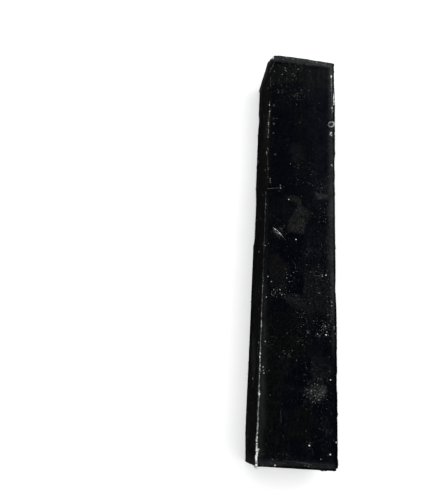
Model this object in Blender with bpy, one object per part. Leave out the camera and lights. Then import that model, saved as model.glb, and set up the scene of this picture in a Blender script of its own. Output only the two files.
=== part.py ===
"""Square-sided ebony turning blank, dipped in wax.

The blank lies along Y on its flat underside. Its origin is the middle of that underside, +Z is up and
+X is the long side with the wide wax roll. All sizes are in metres.
"""
import math
from collections import namedtuple

import bmesh
import bpy
from mathutils import Vector

# The sawn billet
WIDTH = 0.0510
LENGTH = 0.3000
HEIGHT = 0.0470

# How far the end faces' arrises are rounded over by wax
END_EASE = 0.0014

# How far each long arris is eased before any chip: across X and down Z
Ease = namedtuple("Ease", "across down")
ARRIS_EASE = {
    "lower_right": Ease(0.0012, 0.0012),
    "upper_right": Ease(0.0022, 0.0016),
    "upper_left": Ease(0.0007, 0.0007),
    "lower_left": Ease(0.0010, 0.0010),
}

# Splinters, chips and nicks out of the long arrises. Each opens at start, is at its full bite between
# full_from and full_to, and runs out at end, all along Y. The bite is across X and down Z.
Chip = namedtuple("Chip", "arris start full_from full_to end across down")
CHIPS = (
    Chip("upper_left", 0.0345, 0.0385, 0.0460, 0.0580, 0.0016, 0.0046),
    Chip("upper_left", 0.0480, 0.0600, 0.0860, 0.0960, 0.0011, 0.0058),
    Chip("upper_left", 0.0860, 0.0930, 0.1040, 0.1120, 0.0014, 0.0036),
    Chip("upper_left", 0.1320, 0.1485, 0.1560, 0.1600, 0.0022, 0.0062),
    Chip("upper_left", -0.1130, -0.1080, -0.1060, -0.1010, 0.0006, 0.0008),
    Chip("upper_right", 0.0540, 0.0620, 0.0640, 0.0700, 0.0005, 0.0010),
    Chip("upper_right", -0.0450, -0.0350, -0.0300, -0.0210, 0.0006, 0.0009),
    Chip("upper_right", -0.1040, -0.0980, -0.0960, -0.0890, 0.0005, 0.0008),
    Chip("upper_right", -0.1600, -0.1560, -0.1495, -0.1455, 0.0016, 0.0030),
    Chip("lower_right", -0.1010, -0.0880, -0.0500, -0.0440, 0.0052, 0.0068),
    Chip("lower_right", -0.0640, -0.0570, -0.0480, -0.0250, 0.0022, 0.0024),
    Chip("lower_right", 0.1370, 0.1470, 0.1560, 0.1600, 0.0040, 0.0052),
    Chip("lower_left", 0.0080, 0.0120, 0.0420, 0.0560, 0.0028, 0.0041),
    Chip("lower_left", -0.1600, -0.1560, -0.1460, -0.1310, 0.0044, 0.0034),
    Chip("lower_left", 0.1080, 0.1160, 0.1200, 0.1260, 0.0014, 0.0018),
)

# Ridge of wax that runs down onto the upper left arris, from RIDGE_START to the near end
RIDGE_START = 0.0350
RIDGE_THICK_FROM = -0.1150
RIDGE_WIDTH = 0.0014
RIDGE_RISE = 0.0003
RIDGE_THICK_RISE = 0.0007

# Wax drops that set on the upper face beside the right arris
RING_CENTRE = (0.0225, 0.0954)
RING_RADIUS = 0.0026
RING_RISE = 0.0008
RING_DISH = 0.0005
DROP_CENTRE = (0.0224, 0.0876)
DROP_RADIUS = 0.0015
DROP_RISE = 0.0007
DROP_DEPTH = 0.0030
DROP_SIDES = 16

# Mesh density
STATION_PITCH = 0.0030
ARC_STEPS = 4

# Colour of the waxed wood, linear
EBONY_COLOUR = (0.006, 0.006, 0.007, 1.0)
EBONY_ROUGHNESS = 0.42

# Each arris's side of the section: sign of X, 1 for the upper face, and the angle its arc starts at
ARRISES = (
    ("lower_right", 1, 0, -math.pi / 2),
    ("upper_right", 1, 1, 0.0),
    ("upper_left", -1, 1, math.pi / 2),
    ("lower_left", -1, 0, math.pi),
)


def clear_scene():
    """Remove the objects of the open file."""
    for obj in list(bpy.data.objects):
        bpy.data.objects.remove(obj, do_unlink=True)


def ebony_material():
    """Near-black waxed wood."""
    material = bpy.data.materials.new("ebony_wood")
    material.use_nodes = True
    shader = material.node_tree.nodes["Principled BSDF"]
    shader.inputs["Base Color"].default_value = EBONY_COLOUR
    shader.inputs["Roughness"].default_value = EBONY_ROUGHNESS
    shader.inputs["Metallic"].default_value = 0.0
    return material


def chip_strength(chip, y):
    """How deep a chip bites at y, from 0 beyond its ends to 1 where it is full."""
    opening = (y - chip.start) / (chip.full_from - chip.start)
    closing = (chip.end - y) / (chip.end - chip.full_to)
    return max(0.0, min(1.0, opening, closing))


def arris_cut(arris, y):
    """The size of an arris's cut at y, and how much of it is broken and not eased."""
    ease = ARRIS_EASE[arris]
    across = ease.across
    down = ease.down
    for chip in CHIPS:
        if chip.arris == arris:
            strength = chip_strength(chip, y)
            across += chip.across * strength
            down += chip.down * strength
    broken = 1.0 - (ease.across + ease.down) / (across + down)
    return across, down, broken


def ridge_rise(y):
    """Height of the wax ridge above the upper face at y."""
    if y > RIDGE_START:
        return 0.0
    run = RIDGE_START - RIDGE_THICK_FROM
    along = min(1.0, (RIDGE_START - y) / run)
    return RIDGE_RISE * min(1.0, along * 6.0) + (RIDGE_THICK_RISE - RIDGE_RISE) * along ** 3


def section(y):
    """The blank's outline at y, as (x, z) points in order, seen from the near end."""
    points = []
    for arris, side, upper, start in ARRISES:
        across, down, broken = arris_cut(arris, y)
        centre_x = side * (WIDTH / 2 - across)
        centre_z = HEIGHT - down if upper else down
        # A power of 1 gives a quarter round, and 2 would give a straight break
        power = 1.0 + 0.8 * broken
        for step in range(ARC_STEPS + 1):
            angle = start + math.pi / 2 * step / ARC_STEPS
            cosine = math.cos(angle)
            sine = math.sin(angle)
            x = centre_x + math.copysign(abs(cosine) ** power, cosine) * across
            z = centre_z + math.copysign(abs(sine) ** power, sine) * down
            if arris == "upper_left" and step == 0:
                points.append((x + RIDGE_WIDTH, HEIGHT))
                points.append((x + RIDGE_WIDTH / 2, HEIGHT + ridge_rise(y)))
            points.append((x, z))
    return points


def stations():
    """Each section's place along Y and how far the end rounding draws it in."""
    half = LENGTH / 2
    straight = half - END_EASE
    count = round(2 * straight / STATION_PITCH)
    ends = [(half, END_EASE * 0.75), (half - END_EASE * 0.3, END_EASE * 0.2)]
    middle = [(-straight + 2 * straight * i / count, 0.0) for i in range(count + 1)]
    return [(-y, inset) for y, inset in ends] + middle + list(reversed(ends))


def ring_of_vertices(mesh, y, inset):
    """Add one section's vertices, drawn in evenly by inset on every side."""
    scale_x = 1.0 - inset / (WIDTH / 2)
    scale_z = 1.0 - inset / (HEIGHT / 2)
    middle_z = HEIGHT / 2
    return [
        mesh.verts.new((x * scale_x, y, middle_z + (z - middle_z) * scale_z))
        for x, z in section(y)
    ]


def add_billet(material):
    """The sawn billet, lofted through its sections and closed by two flat end faces."""
    mesh = bmesh.new()
    rings = [ring_of_vertices(mesh, y, inset) for y, inset in stations()]
    for near, far in zip(rings, rings[1:]):
        for i in range(len(near)):
            j = (i + 1) % len(near)
            mesh.faces.new((near[i], near[j], far[j], far[i]))
    mesh.faces.new(list(reversed(rings[-1])))
    mesh.faces.new(rings[0])
    bmesh.ops.recalc_face_normals(mesh, faces=mesh.faces)
    return mesh_object("ebony_blank", mesh, material)


def add_wax_drop(name, centre, profile, material):
    """A turned drop of wax, from (radius, height above the face) points, sunk into the wood."""
    mesh = bmesh.new()
    sunk = [(profile[-1][0] * 0.9, -DROP_DEPTH)]
    circles = []
    for radius, height in profile + sunk:
        circle = []
        for i in range(DROP_SIDES):
            angle = 2 * math.pi * i / DROP_SIDES
            offset = Vector((math.cos(angle), math.sin(angle), 0.0)) * radius
            circle.append(mesh.verts.new(Vector((*centre, HEIGHT + height)) + offset))
        circles.append(circle)
    for upper, lower in zip(circles, circles[1:]):
        for i in range(DROP_SIDES):
            j = (i + 1) % DROP_SIDES
            mesh.faces.new((upper[i], lower[i], lower[j], upper[j]))
    mesh.faces.new(circles[0])
    mesh.faces.new(list(reversed(circles[-1])))
    bmesh.ops.recalc_face_normals(mesh, faces=mesh.faces)
    drop = mesh_object(name, mesh, material)
    drop.hide_render = True
    drop.display_type = "WIRE"
    return drop


def mesh_object(name, mesh, material):
    """Turn a bmesh into a named object in the scene."""
    data = bpy.data.meshes.new(name)
    mesh.to_mesh(data)
    mesh.free()
    data.materials.append(material)
    data.shade_smooth()
    data.set_sharp_from_angle(angle=math.radians(35))
    obj = bpy.data.objects.new(name, data)
    bpy.context.scene.collection.objects.link(obj)
    return obj


def fuse(obj, addition):
    """Join a wax drop to the billet as one solid."""
    union = obj.modifiers.new(addition.name, "BOOLEAN")
    union.operation = "UNION"
    union.solver = "EXACT"
    union.object = addition


def ring_profile():
    """A drop that dried with a raised rim and a dished middle."""
    return [
        (RING_RADIUS * 0.30, RING_RISE - RING_DISH),
        (RING_RADIUS * 0.55, RING_RISE - RING_DISH * 0.4),
        (RING_RADIUS * 0.72, RING_RISE),
        (RING_RADIUS * 0.90, RING_RISE * 0.7),
        (RING_RADIUS, 0.0),
    ]


def drop_profile():
    """A plain low dome."""
    return [
        (DROP_RADIUS * math.cos(angle), DROP_RISE * math.sin(angle))
        for angle in (math.radians(degrees) for degrees in (78, 52, 26, 0))
    ]


def main():
    clear_scene()
    material = ebony_material()
    billet = add_billet(material)
    fuse(billet, add_wax_drop("wax_ring", RING_CENTRE, ring_profile(), material))
    fuse(billet, add_wax_drop("wax_drop", DROP_CENTRE, drop_profile(), material))


main()
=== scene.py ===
"""Dressed model of a square-sided ebony turning blank that was dipped in wax.

Laid out as an add-on: each operator makes one piece or group of like pieces, and the panel lists them.
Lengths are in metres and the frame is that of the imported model: the blank lies along Y on its underside.
"""

import math
import random
from collections import namedtuple

import bmesh
import bpy
import numpy as np
from bpy.props import FloatProperty, FloatVectorProperty, IntProperty, PointerProperty
from mathutils import Matrix, Quaternion, Vector, noise
from mathutils.bvhtree import BVHTree
from mathutils.kdtree import KDTree


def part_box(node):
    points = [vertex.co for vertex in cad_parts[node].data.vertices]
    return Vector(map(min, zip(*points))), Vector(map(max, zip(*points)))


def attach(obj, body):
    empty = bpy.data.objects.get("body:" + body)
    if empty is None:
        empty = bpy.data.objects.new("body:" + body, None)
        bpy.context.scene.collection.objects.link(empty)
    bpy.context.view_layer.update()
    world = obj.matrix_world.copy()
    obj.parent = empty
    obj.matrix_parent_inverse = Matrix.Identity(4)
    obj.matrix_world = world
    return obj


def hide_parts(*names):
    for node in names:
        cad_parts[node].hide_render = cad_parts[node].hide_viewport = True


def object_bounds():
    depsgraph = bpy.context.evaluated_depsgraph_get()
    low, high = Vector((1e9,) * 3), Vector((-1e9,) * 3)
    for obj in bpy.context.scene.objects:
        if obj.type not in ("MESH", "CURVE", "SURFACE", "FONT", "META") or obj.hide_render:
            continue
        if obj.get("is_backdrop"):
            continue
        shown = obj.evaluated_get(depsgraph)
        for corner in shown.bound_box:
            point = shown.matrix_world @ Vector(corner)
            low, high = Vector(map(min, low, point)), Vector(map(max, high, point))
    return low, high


bl_info = {
    "name": "Waxed Ebony Blank",
    "version": (1, 0, 0),
    "blender": (4, 5, 0),
    "location": "View3D > Sidebar > Ebony Blank",
    "description": "Models a wax sealed ebony turning blank and a plain studio around it",
    "category": "Object",
}

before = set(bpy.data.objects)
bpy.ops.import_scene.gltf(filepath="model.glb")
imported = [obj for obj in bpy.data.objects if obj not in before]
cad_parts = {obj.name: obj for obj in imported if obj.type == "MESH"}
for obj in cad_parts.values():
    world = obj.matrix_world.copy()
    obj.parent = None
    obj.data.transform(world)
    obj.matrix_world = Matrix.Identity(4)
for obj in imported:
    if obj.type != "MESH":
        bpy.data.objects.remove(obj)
CAD_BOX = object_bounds()

MM = 0.001
NODE = "ebony_blank"
BODY = "root"

# The sawn billet, from the frame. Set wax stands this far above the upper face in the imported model.
WAX_ABOVE_FACE = 0.8 * MM
LOW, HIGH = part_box(NODE)
HALF_WIDTH = HIGH.x
HALF_LENGTH = HIGH.y
HEIGHT = HIGH.z - WAX_ABOVE_FACE

# The photograph's frame in pixels, and the camera that sees the blank as it does
PHOTO_WIDTH = 446
PHOTO_HEIGHT = 500
SENSOR = 36.0
LENS = 38.53
CAMERA_PLACE = Vector((-0.0877, -0.1265, HEIGHT + 0.3461))
CAMERA_AIM = Vector((-0.0537, -0.0129, HEIGHT))
CAMERA_ROLL = math.radians(21.03)

# Pixel of the photograph at the middle of the blank's upper face
FACE_MIDDLE = Vector((300.0, 262.0))


def camera_turn():
    """The camera's rotation: it looks at its aim point, rolled about its line of sight."""
    sight = CAMERA_AIM - CAMERA_PLACE
    return sight.to_track_quat("-Z", "Y") @ Quaternion((0, 0, 1), CAMERA_ROLL)


def on_face(column, row):
    """The point of the upper face's plane that a pixel of the photograph shows."""
    focal = LENS / SENSOR * PHOTO_HEIGHT
    ray = camera_turn() @ Vector((column - PHOTO_WIDTH / 2, PHOTO_HEIGHT / 2 - row, -focal))
    reach = (HEIGHT - CAMERA_PLACE.z) / ray.z
    return CAMERA_PLACE + ray * reach


# The long arrises, as the side of X and whether they bound the upper face
ARRISES = {
    "lower_right": (1, False),
    "upper_right": (1, True),
    "upper_left": (-1, True),
    "lower_left": (-1, False),
}

# How far wax and wear round each long arris: place along Y, across X and down Z, in millimetres
EASES = {
    "lower_right": ((-150, 1.2, 1.2), (150, 1.2, 1.2)),
    "upper_right": ((-150, 0.4, 0.4), (-20, 0.5, 0.5), (20, 0.9, 0.9), (60, 1.4, 1.3), (150, 1.5, 1.3)),
    "upper_left": ((-150, 0.9, 0.9), (-60, 0.8, 0.8), (20, 0.6, 0.6), (150, 0.7, 0.7)),
    "lower_left": ((-150, 1.0, 1.0), (150, 1.0, 1.0)),
}

# How far the edges of the end faces are rounded: the far one's under True, here and below
END_EASE = {True: 1.2 * MM, False: 0.4 * MM}

# How far each end face stands out of its plane, by place across X, in millimetres
END_BOWS = {
    True: ((-25.5, 0.0), (-19, 1.1), (-8, 1.2), (4, 0.9), (12, 0.6), (21, 0.1), (25.5, 0.0)),
    False: ((-25.5, -0.8), (25.5, -0.6)),
}

# Splinters, chips and nicks out of the long arrises, in millimetres. Each opens at start, is at its full
# bite between full_from and full_to, and runs out at end, all along Y. The bite is across X and down Z.
Chip = namedtuple("Chip", "arris start full_from full_to end across down")
CHIPS = (
    Chip("upper_left", 34.5, 38.5, 46.0, 58.0, 1.6, 4.6),
    Chip("upper_left", 48.0, 60.0, 86.0, 96.0, 1.1, 5.8),
    Chip("upper_left", 86.0, 93.0, 104.0, 112.0, 1.4, 3.6),
    Chip("upper_left", 132.0, 148.5, 156.0, 160.0, 2.2, 6.2),
    Chip("upper_left", -113.0, -108.0, -106.0, -101.0, 0.6, 0.8),
    Chip("upper_right", 54.0, 62.0, 64.0, 70.0, 0.4, 0.8),
    Chip("upper_right", -45.0, -35.0, -30.0, -21.0, 0.4, 0.7),
    Chip("upper_right", -104.0, -98.0, -96.0, -89.0, 0.4, 0.6),
    Chip("upper_right", -160.0, -156.0, -148.2, -147.8, 1.0, 2.0),
    Chip("lower_right", -101.0, -88.0, -50.0, -44.0, 5.2, 6.8),
    Chip("lower_right", -64.0, -57.0, -48.0, -25.0, 2.2, 2.4),
    Chip("lower_right", 137.0, 147.0, 156.0, 160.0, 4.0, 5.2),
    Chip("lower_left", 8.0, 12.0, 42.0, 56.0, 2.8, 4.1),
    Chip("lower_left", -160.0, -156.0, -146.0, -131.0, 4.4, 3.4),
    Chip("lower_left", 108.0, 116.0, 120.0, 126.0, 1.4, 1.8),
)

# Where wax gathered in a soft roll over a long arris or an end: place along Y in millimetres and share of
# its height
ROLLS = {
    "lower_right": ((-150, 0.3), (-110, 0.0), (0, 0.15), (150, 0.3)),
    "upper_right": (
        (-150, 0.5), (-60, 0.65), (-30, 0.3), (0, 0.1), (20, 0.1), (48, 0.2), (62, 0.8), (120, 0.9),
        (132, 0.4), (150, 0.3),
    ),
    "upper_left": ((-150, 0.4), (-120, 0.3), (-70, 0.15), (-20, 0.0), (150, 0.0)),
    "lower_left": ((-150, 0.3), (-90, 0.1), (60, 0.0), (150, 0.4)),
}
END_ROLLS = {True: 0.95, False: 0.12}
ROLL_HEIGHT = 1.0 * MM
ROLL_REACH = 2.3 * MM

# The thicker, paler wax film beside each long arris, partly painted sheen where the rounded arris catches
# the
# light: place along Y, reach from the arris in millimetres and strength
WAX_AND_SHEEN_BANDS = {
    "lower_right": ((-150, 7.0, 0.6), (-120, 4.0, 0.35), (-60, 3.0, 0.2), (80, 3.0, 0.2), (150, 8.0, 0.7)),
    "upper_right": (
        (-150, 3.0, 0.0), (-84, 3.4, 0.02), (-72, 4.2, 0.20), (-50, 5.4, 0.24), (-30, 5.2, 0.33),
        (-8, 7.2, 0.24), (25, 7.8, 0.36), (60, 7.4, 0.32), (100, 6.6, 0.32), (110, 6.6, 0.48),
        (140, 6.4, 0.58), (150, 6.2, 0.52),
    ),
    "upper_left": (
        (-150, 5.6, 0.11), (-130, 6.6, 0.15), (-118, 7.0, 0.17), (-72, 6.6, 0.16), (-55, 5.0, 0.10),
        (-20, 4.0, 0.07), (40, 3.0, 0.04), (150, 2.4, 0.07),
    ),
    "lower_left": ((-150, 7.0, 0.6), (-110, 3.0, 0.3), (60, 2.6, 0.2), (120, 4.0, 0.4), (150, 8.0, 0.6)),
}
BAND_STEEPNESS = 1.3
BAND_POWER = 1.4

# The film round the ends: reach in millimetres, strength and how steeply it thins out; along the far end's
# upper edge it is partly painted sheen. Below the upper face and on the end faces BELOW_TOP_BAND holds,
# where the second number is a gain on the end's own strength.
FAR_WAX_AND_SHEEN_BAND = (4.8, 0.44, 3.0)
NEAR_BAND = (6.4, 0.155, 1.5)
BELOW_TOP_BAND = (7.5, 2.1, 1.15)

# How much of the film is darkened along each long arris, partly rubbed off and partly painted shade on the
# rounded edge, and how far in. The near table says how far in the near end's edge is darkened so, by place
# across X, in millimetres. The loss is the share lost at most.
RUBBED_AND_SHADED = {"lower_right": 0.5, "upper_right": 1.0, "upper_left": 0.5, "lower_left": 0.5}
RUBBED_AND_SHADED_REACH = 2.1 * MM
NEAR_RUBBED_AND_SHADED = ((-26, 1.2), (-13, 1.5), (-9, 3.1), (6, 3.3), (10, 1.8), (26, 2.0))
RUBBED_AND_SHADED_STEEPNESS = 1.7
RUBBED_AND_SHADED_LOSS = 0.85

# Mesh of the block: cells across the fine strip beside each arris and end, how wide those strips are, and
# cells between them
FINE_STRIP = 6.5 * MM
FINE_CELLS = 13
COARSE_CELLS = 20
END_STRIP = 3.2 * MM
END_CELLS = 10
LENGTH_CELLS = 400
MOST_CELLS_AT_ONCE = 100

# Weights of a vertex group are kept in this many steps
WEIGHT_STEPS = 60


def length_property(name, description, default):
    """A length for the panel, in metres."""
    return FloatProperty(name=name, description=description, default=default, unit="LENGTH", precision=5)


def colour_property(name, description, default):
    """A linear colour for the panel."""
    return FloatVectorProperty(name=name, description=description, default=default, subtype="COLOR", size=3)


class BlankSizes(bpy.types.PropertyGroup):
    """Sizes of the wood's surface and of the wax on it."""

    face_wander: length_property("Face Wander", "How far the sawn faces wander from flat", 0.35 * MM)
    skin_relief: length_property("Wax Skin Relief", "Height of the low lumps in the wax skin", 0.16 * MM)
    fracture_relief: length_property(
        "Fracture Relief", "Depth of the torn grain inside chips and splinters", 1.3 * MM
    )
    speck_radius: length_property("Speck Radius", "Radius of a usual speck of spattered wax", 0.42 * MM)
    scattered_specks: IntProperty(
        name="Scattered Specks",
        description="How many small specks lie scattered over all six faces",
        default=520,
        min=0,
    )


class BlankColours(bpy.types.PropertyGroup):
    """Colours of the wood, the wax and the floor, linear."""

    clear: colour_property(
        "Clear Film", "Colour of the wood where its wax film is clear", (0.0005, 0.0007, 0.0017)
    )
    plain: colour_property(
        "Plain Film", "Usual colour of the wood under its wax film", (0.0010, 0.0012, 0.0020)
    )
    violet: colour_property(
        "Thin Haze", "Colour of the wax film where it barely clouds", (0.0020, 0.0021, 0.0037)
    )
    grey: colour_property("Grey Haze", "Colour of the wax film where it clouds", (0.0040, 0.0042, 0.0046))
    olive: colour_property(
        "Olive Haze", "Colour of clouded wax over greener wood", (0.0034, 0.0042, 0.0033)
    )
    brown: colour_property(
        "Brown Haze", "Colour of clouded wax over browner wood", (0.0030, 0.0028, 0.0026)
    )
    umber: colour_property(
        "Umber Haze", "Colour of barely clouded wax over browner wood", (0.0014, 0.0014, 0.0013)
    )
    pale: colour_property("Pale Cloud", "Colour of the palest clouds in the film", (0.0066, 0.0067, 0.0062))
    smear: colour_property("Smear", "Colour of smeared wax on the film", (0.024, 0.024, 0.023))
    figure: colour_property(
        "Brown Figure", "Colour of the brown streaks in the sides' grain", (0.0090, 0.0066, 0.0034)
    )
    # Along the rounded arrises and the far end this colour also paints sheen
    band: colour_property(
        "Wax Band", "Colour of the thicker wax along the arrises and ends", (0.044, 0.050, 0.049)
    )
    wax: colour_property("Set Wax", "Colour of thick set wax", (0.80, 0.81, 0.78))
    thin_wax: colour_property(
        "Thin Wax", "Colour of set wax so thin that the wood shows through", (0.006, 0.007, 0.007)
    )
    floor: colour_property("Floor", "Colour of the pale floor", (0.88, 0.88, 0.88))


def sizes():
    """The panel's sizes."""
    return bpy.context.scene.blank_sizes


def colours():
    """The panel's colours."""
    return bpy.context.scene.blank_colours


# Mesh helpers


def deselect():
    """Leave object mode with nothing selected."""
    if bpy.context.object and bpy.context.object.mode != "OBJECT":
        bpy.ops.object.mode_set(mode="OBJECT")
    bpy.ops.object.select_all(action="DESELECT")


def select_only(obj):
    """Make obj the one selected and active object."""
    deselect()
    obj.select_set(True)
    bpy.context.view_layer.objects.active = obj


def settle(obj):
    """Put an object's place, turn and scale into its mesh."""
    select_only(obj)
    bpy.ops.object.transform_apply(location=True, rotation=True, scale=True)


def apply_modifier(obj, kind, **settings):
    """Add one modifier with its settings and apply it."""
    select_only(obj)
    modifier = obj.modifiers.new(kind.title(), kind)
    for name, value in settings.items():
        setattr(modifier, name, value)
    bpy.ops.object.modifier_apply(modifier=modifier.name)


def vertex_places(obj):
    """Every vertex's place, as an array with one row each."""
    places = np.empty(len(obj.data.vertices) * 3)
    obj.data.vertices.foreach_get("co", places)
    return places.reshape(-1, 3)


def move_vertices(obj, places):
    """Put every vertex of an object where the array says."""
    obj.data.vertices.foreach_set("co", places.ravel())
    obj.data.update()


def lift_above_floor(obj):
    """Raise every vertex that lies below the underside onto its plane."""
    places = vertex_places(obj)
    places[:, 2] = np.maximum(places[:, 2], 0.0)
    move_vertices(obj, places)


def smooth(obj):
    """Shade an object smooth."""
    select_only(obj)
    bpy.ops.object.shade_smooth()


def cut_along(obj, axis, cuts):
    """Cut every edge that runs along an axis into equal lengths."""
    select_only(obj)
    bpy.ops.object.mode_set(mode="EDIT")
    bpy.ops.mesh.select_mode(type="EDGE")
    bpy.ops.mesh.select_all(action="DESELECT")
    mesh = bmesh.from_edit_mesh(obj.data)
    for edge in mesh.edges:
        run = edge.verts[1].co - edge.verts[0].co
        edge.select_set(abs(run[axis]) > 0.5 * run.length)
    bmesh.update_edit_mesh(obj.data)
    bpy.ops.mesh.subdivide(number_cuts=cuts)
    bpy.ops.object.mode_set(mode="OBJECT")


def crowd_to_ends(values, strip, strip_cells, middle_cells):
    """Slide evenly spaced places so that strip_cells of them fill the strip at each end."""
    low = values.min()
    high = values.max()
    share = strip_cells / (2 * strip_cells + middle_cells)
    from_share = (0.0, share, 1.0 - share, 1.0)
    to_place = (low, low + strip, high - strip, high)
    return np.interp((values - low) / (high - low), from_share, to_place)


def point_values(obj, name, values):
    """Store one number for each vertex, for the material to read."""
    attribute = obj.data.attributes.new(name, "FLOAT", "POINT")
    attribute.data.foreach_set("value", np.asarray(values, dtype=np.float32))


def weight_group(obj, name, weights):
    """Make a vertex group with a weight for each vertex."""
    group = obj.vertex_groups.new(name=name)
    steps = np.round(weights * WEIGHT_STEPS).astype(int)
    for step in np.unique(steps[steps > 0]):
        group.add(np.nonzero(steps == step)[0].tolist(), step / WEIGHT_STEPS, "REPLACE")


# The wood


def chip_strength(chip, y):
    """How deep a chip bites at y in millimetres, from 0 beyond its ends to 1 where it is full."""
    opening = (y - chip.start) / (chip.full_from - chip.start)
    closing = (chip.end - y) / (chip.end - chip.full_to)
    return np.clip(np.minimum(opening, closing), 0.0, 1.0)


def ragged(y, pitch, seed):
    """Smooth noise along Y between -1 and 1, for an array of places in millimetres."""
    steps = np.unique(np.round(y, 3))
    heights = [noise.noise(Vector((step / pitch, seed, 0.0))) for step in steps]
    return np.interp(y, steps, heights)


def arris_cut(arris, y):
    """An arris's cut across X and down Z at each y, and how much of it is broken, in metres."""
    places, eased_across, eased_down = np.array(EASES[arris]).T
    y = y / MM
    across = np.interp(y, places, eased_across)
    down = np.interp(y, places, eased_down)
    eased = across + down
    seed = 7.3 * list(ARRISES).index(arris)
    for chip in CHIPS:
        if chip.arris == arris:
            strength = chip_strength(chip, y)
            torn = 1.0 + 0.30 * ragged(y, 3.1, seed) + 0.22 * ragged(y, 1.1, seed + 3.0)
            across += chip.across * strength * torn
            down += chip.down * strength * (1.0 + 0.25 * ragged(y, 4.7, seed + 5.0))
    across *= 1.0 + 0.15 * ragged(y, 6.0, seed + 11.0)
    down *= 1.0 + 0.15 * ragged(y, 7.0, seed + 13.0)
    broken = np.clip(1.0 - eased / (across + down), 0.0, 1.0)
    return across * MM, down * MM, broken


def at_arris_places(places):
    """Each vertex's nearest long arris, as pairs of its name and which vertices it has."""
    x, _, z = places.T
    for arris, (side, upper) in ARRISES.items():
        yield arris, ((x >= 0) == (side > 0)) & ((z > HEIGHT / 2) == upper)


def round_arrises(places):
    """The block's places drawn in to the eased and chipped long arrises, and how broken each one is."""
    x, y, z = places.T
    across = np.zeros(len(x))
    down = np.zeros(len(x))
    broken = np.zeros(len(x))
    for arris, mine in at_arris_places(places):
        across[mine], down[mine], broken[mine] = arris_cut(arris, y[mine])
    middle = HEIGHT / 2
    flat_x = HALF_WIDTH - across
    flat_z = middle - down
    u = np.clip((np.abs(x) - flat_x) / across, 0.0, 1.0)
    v = np.clip((np.abs(z - middle) - flat_z) / down, 0.0, 1.0)
    # A power of 2 gives a round arris, and 1 a straight break
    power = 2.0 - 0.85 * broken
    shrink = np.maximum(u, v) / np.maximum((u ** power + v ** power) ** (1.0 / power), 1e-9)
    new_x = np.sign(x) * (np.minimum(np.abs(x), flat_x) + u * shrink * across)
    new_z = middle + np.sign(z - middle) * (np.minimum(np.abs(z - middle), flat_z) + v * shrink * down)
    on_cut = np.clip(np.minimum(u, v) * 6.0, 0.0, 1.0)
    return np.stack((new_x, y, new_z), axis=1), broken * on_cut


def round_ends(places):
    """The places drawn in evenly towards both end faces."""
    x, y, z = places.T
    middle = HEIGHT / 2
    ease = np.where(y > 0, END_EASE[True], END_EASE[False])
    ease *= 1.0 + 0.3 * ragged(x / MM, 7.0, 21.0) + 0.3 * ragged(z / MM, 7.0, 23.0)
    into = np.clip(ease - (HALF_LENGTH - np.abs(y)), 0.0, None)
    inset = ease - np.sqrt(np.maximum(ease ** 2 - into ** 2, 0.0))
    new_x = x * (1.0 - inset / HALF_WIDTH)
    new_z = middle + (z - middle) * (1.0 - inset / middle)
    near_end = np.clip(1.0 - (HALF_LENGTH - np.abs(y)) / END_STRIP, 0.0, 1.0)
    bows = {far: np.interp(x / MM, *np.array(table).T) * MM for far, table in END_BOWS.items()}
    new_y = y + np.sign(y) * near_end * np.where(y > 0, bows[True], bows[False])
    return np.stack((new_x, new_y, new_z), axis=1)


def from_arris(places):
    """How far each place on the uncut block's surface is from its nearest long arris."""
    x, _, z = places.T
    return np.maximum(HALF_WIDTH - np.abs(x), HEIGHT / 2 - np.abs(z - HEIGHT / 2))


def from_end(places):
    """How far each place on the uncut block's surface is from the outline of the nearer end face."""
    x, y, z = places.T
    inside = np.minimum(HALF_WIDTH - np.abs(x), HEIGHT / 2 - np.abs(z - HEIGHT / 2))
    return np.maximum(HALF_LENGTH - np.abs(y), np.maximum(inside, 0.0))


def roll_weights(places):
    """How thick the roll of wax is over each long arris, from 0 to 1."""
    y = places[:, 1] / MM
    away = from_arris(places)
    weights = np.zeros(len(y))
    for arris, mine in at_arris_places(places):
        where, height = np.array(ROLLS[arris]).T
        lumps = 1.0 + 0.35 * ragged(y[mine], 5.0, 31.0) + 0.2 * ragged(y[mine], 1.7, 33.0)
        fall = np.exp(-(away[mine] / ROLL_REACH) ** 2)
        weights[mine] = np.interp(y[mine], where, height) * lumps * fall
    x, _, z = places.T / MM
    away = from_end(places)
    lumps = 1.0 + 0.35 * ragged(x, 6.0, 35.0) + 0.3 * ragged(z, 6.0, 37.0)
    share = np.where(y > 0, END_ROLLS[True], END_ROLLS[False])
    weights = np.maximum(weights, share * lumps * np.exp(-(away / ROLL_REACH) ** 2))
    return np.clip(weights, 0.0, 1.0)


def soft_step(values):
    """A smooth rise from 0 at 0 to 1 at 1."""
    values = np.clip(values, 0.0, 1.0)
    return values * values * (3.0 - 2.0 * values)


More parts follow.
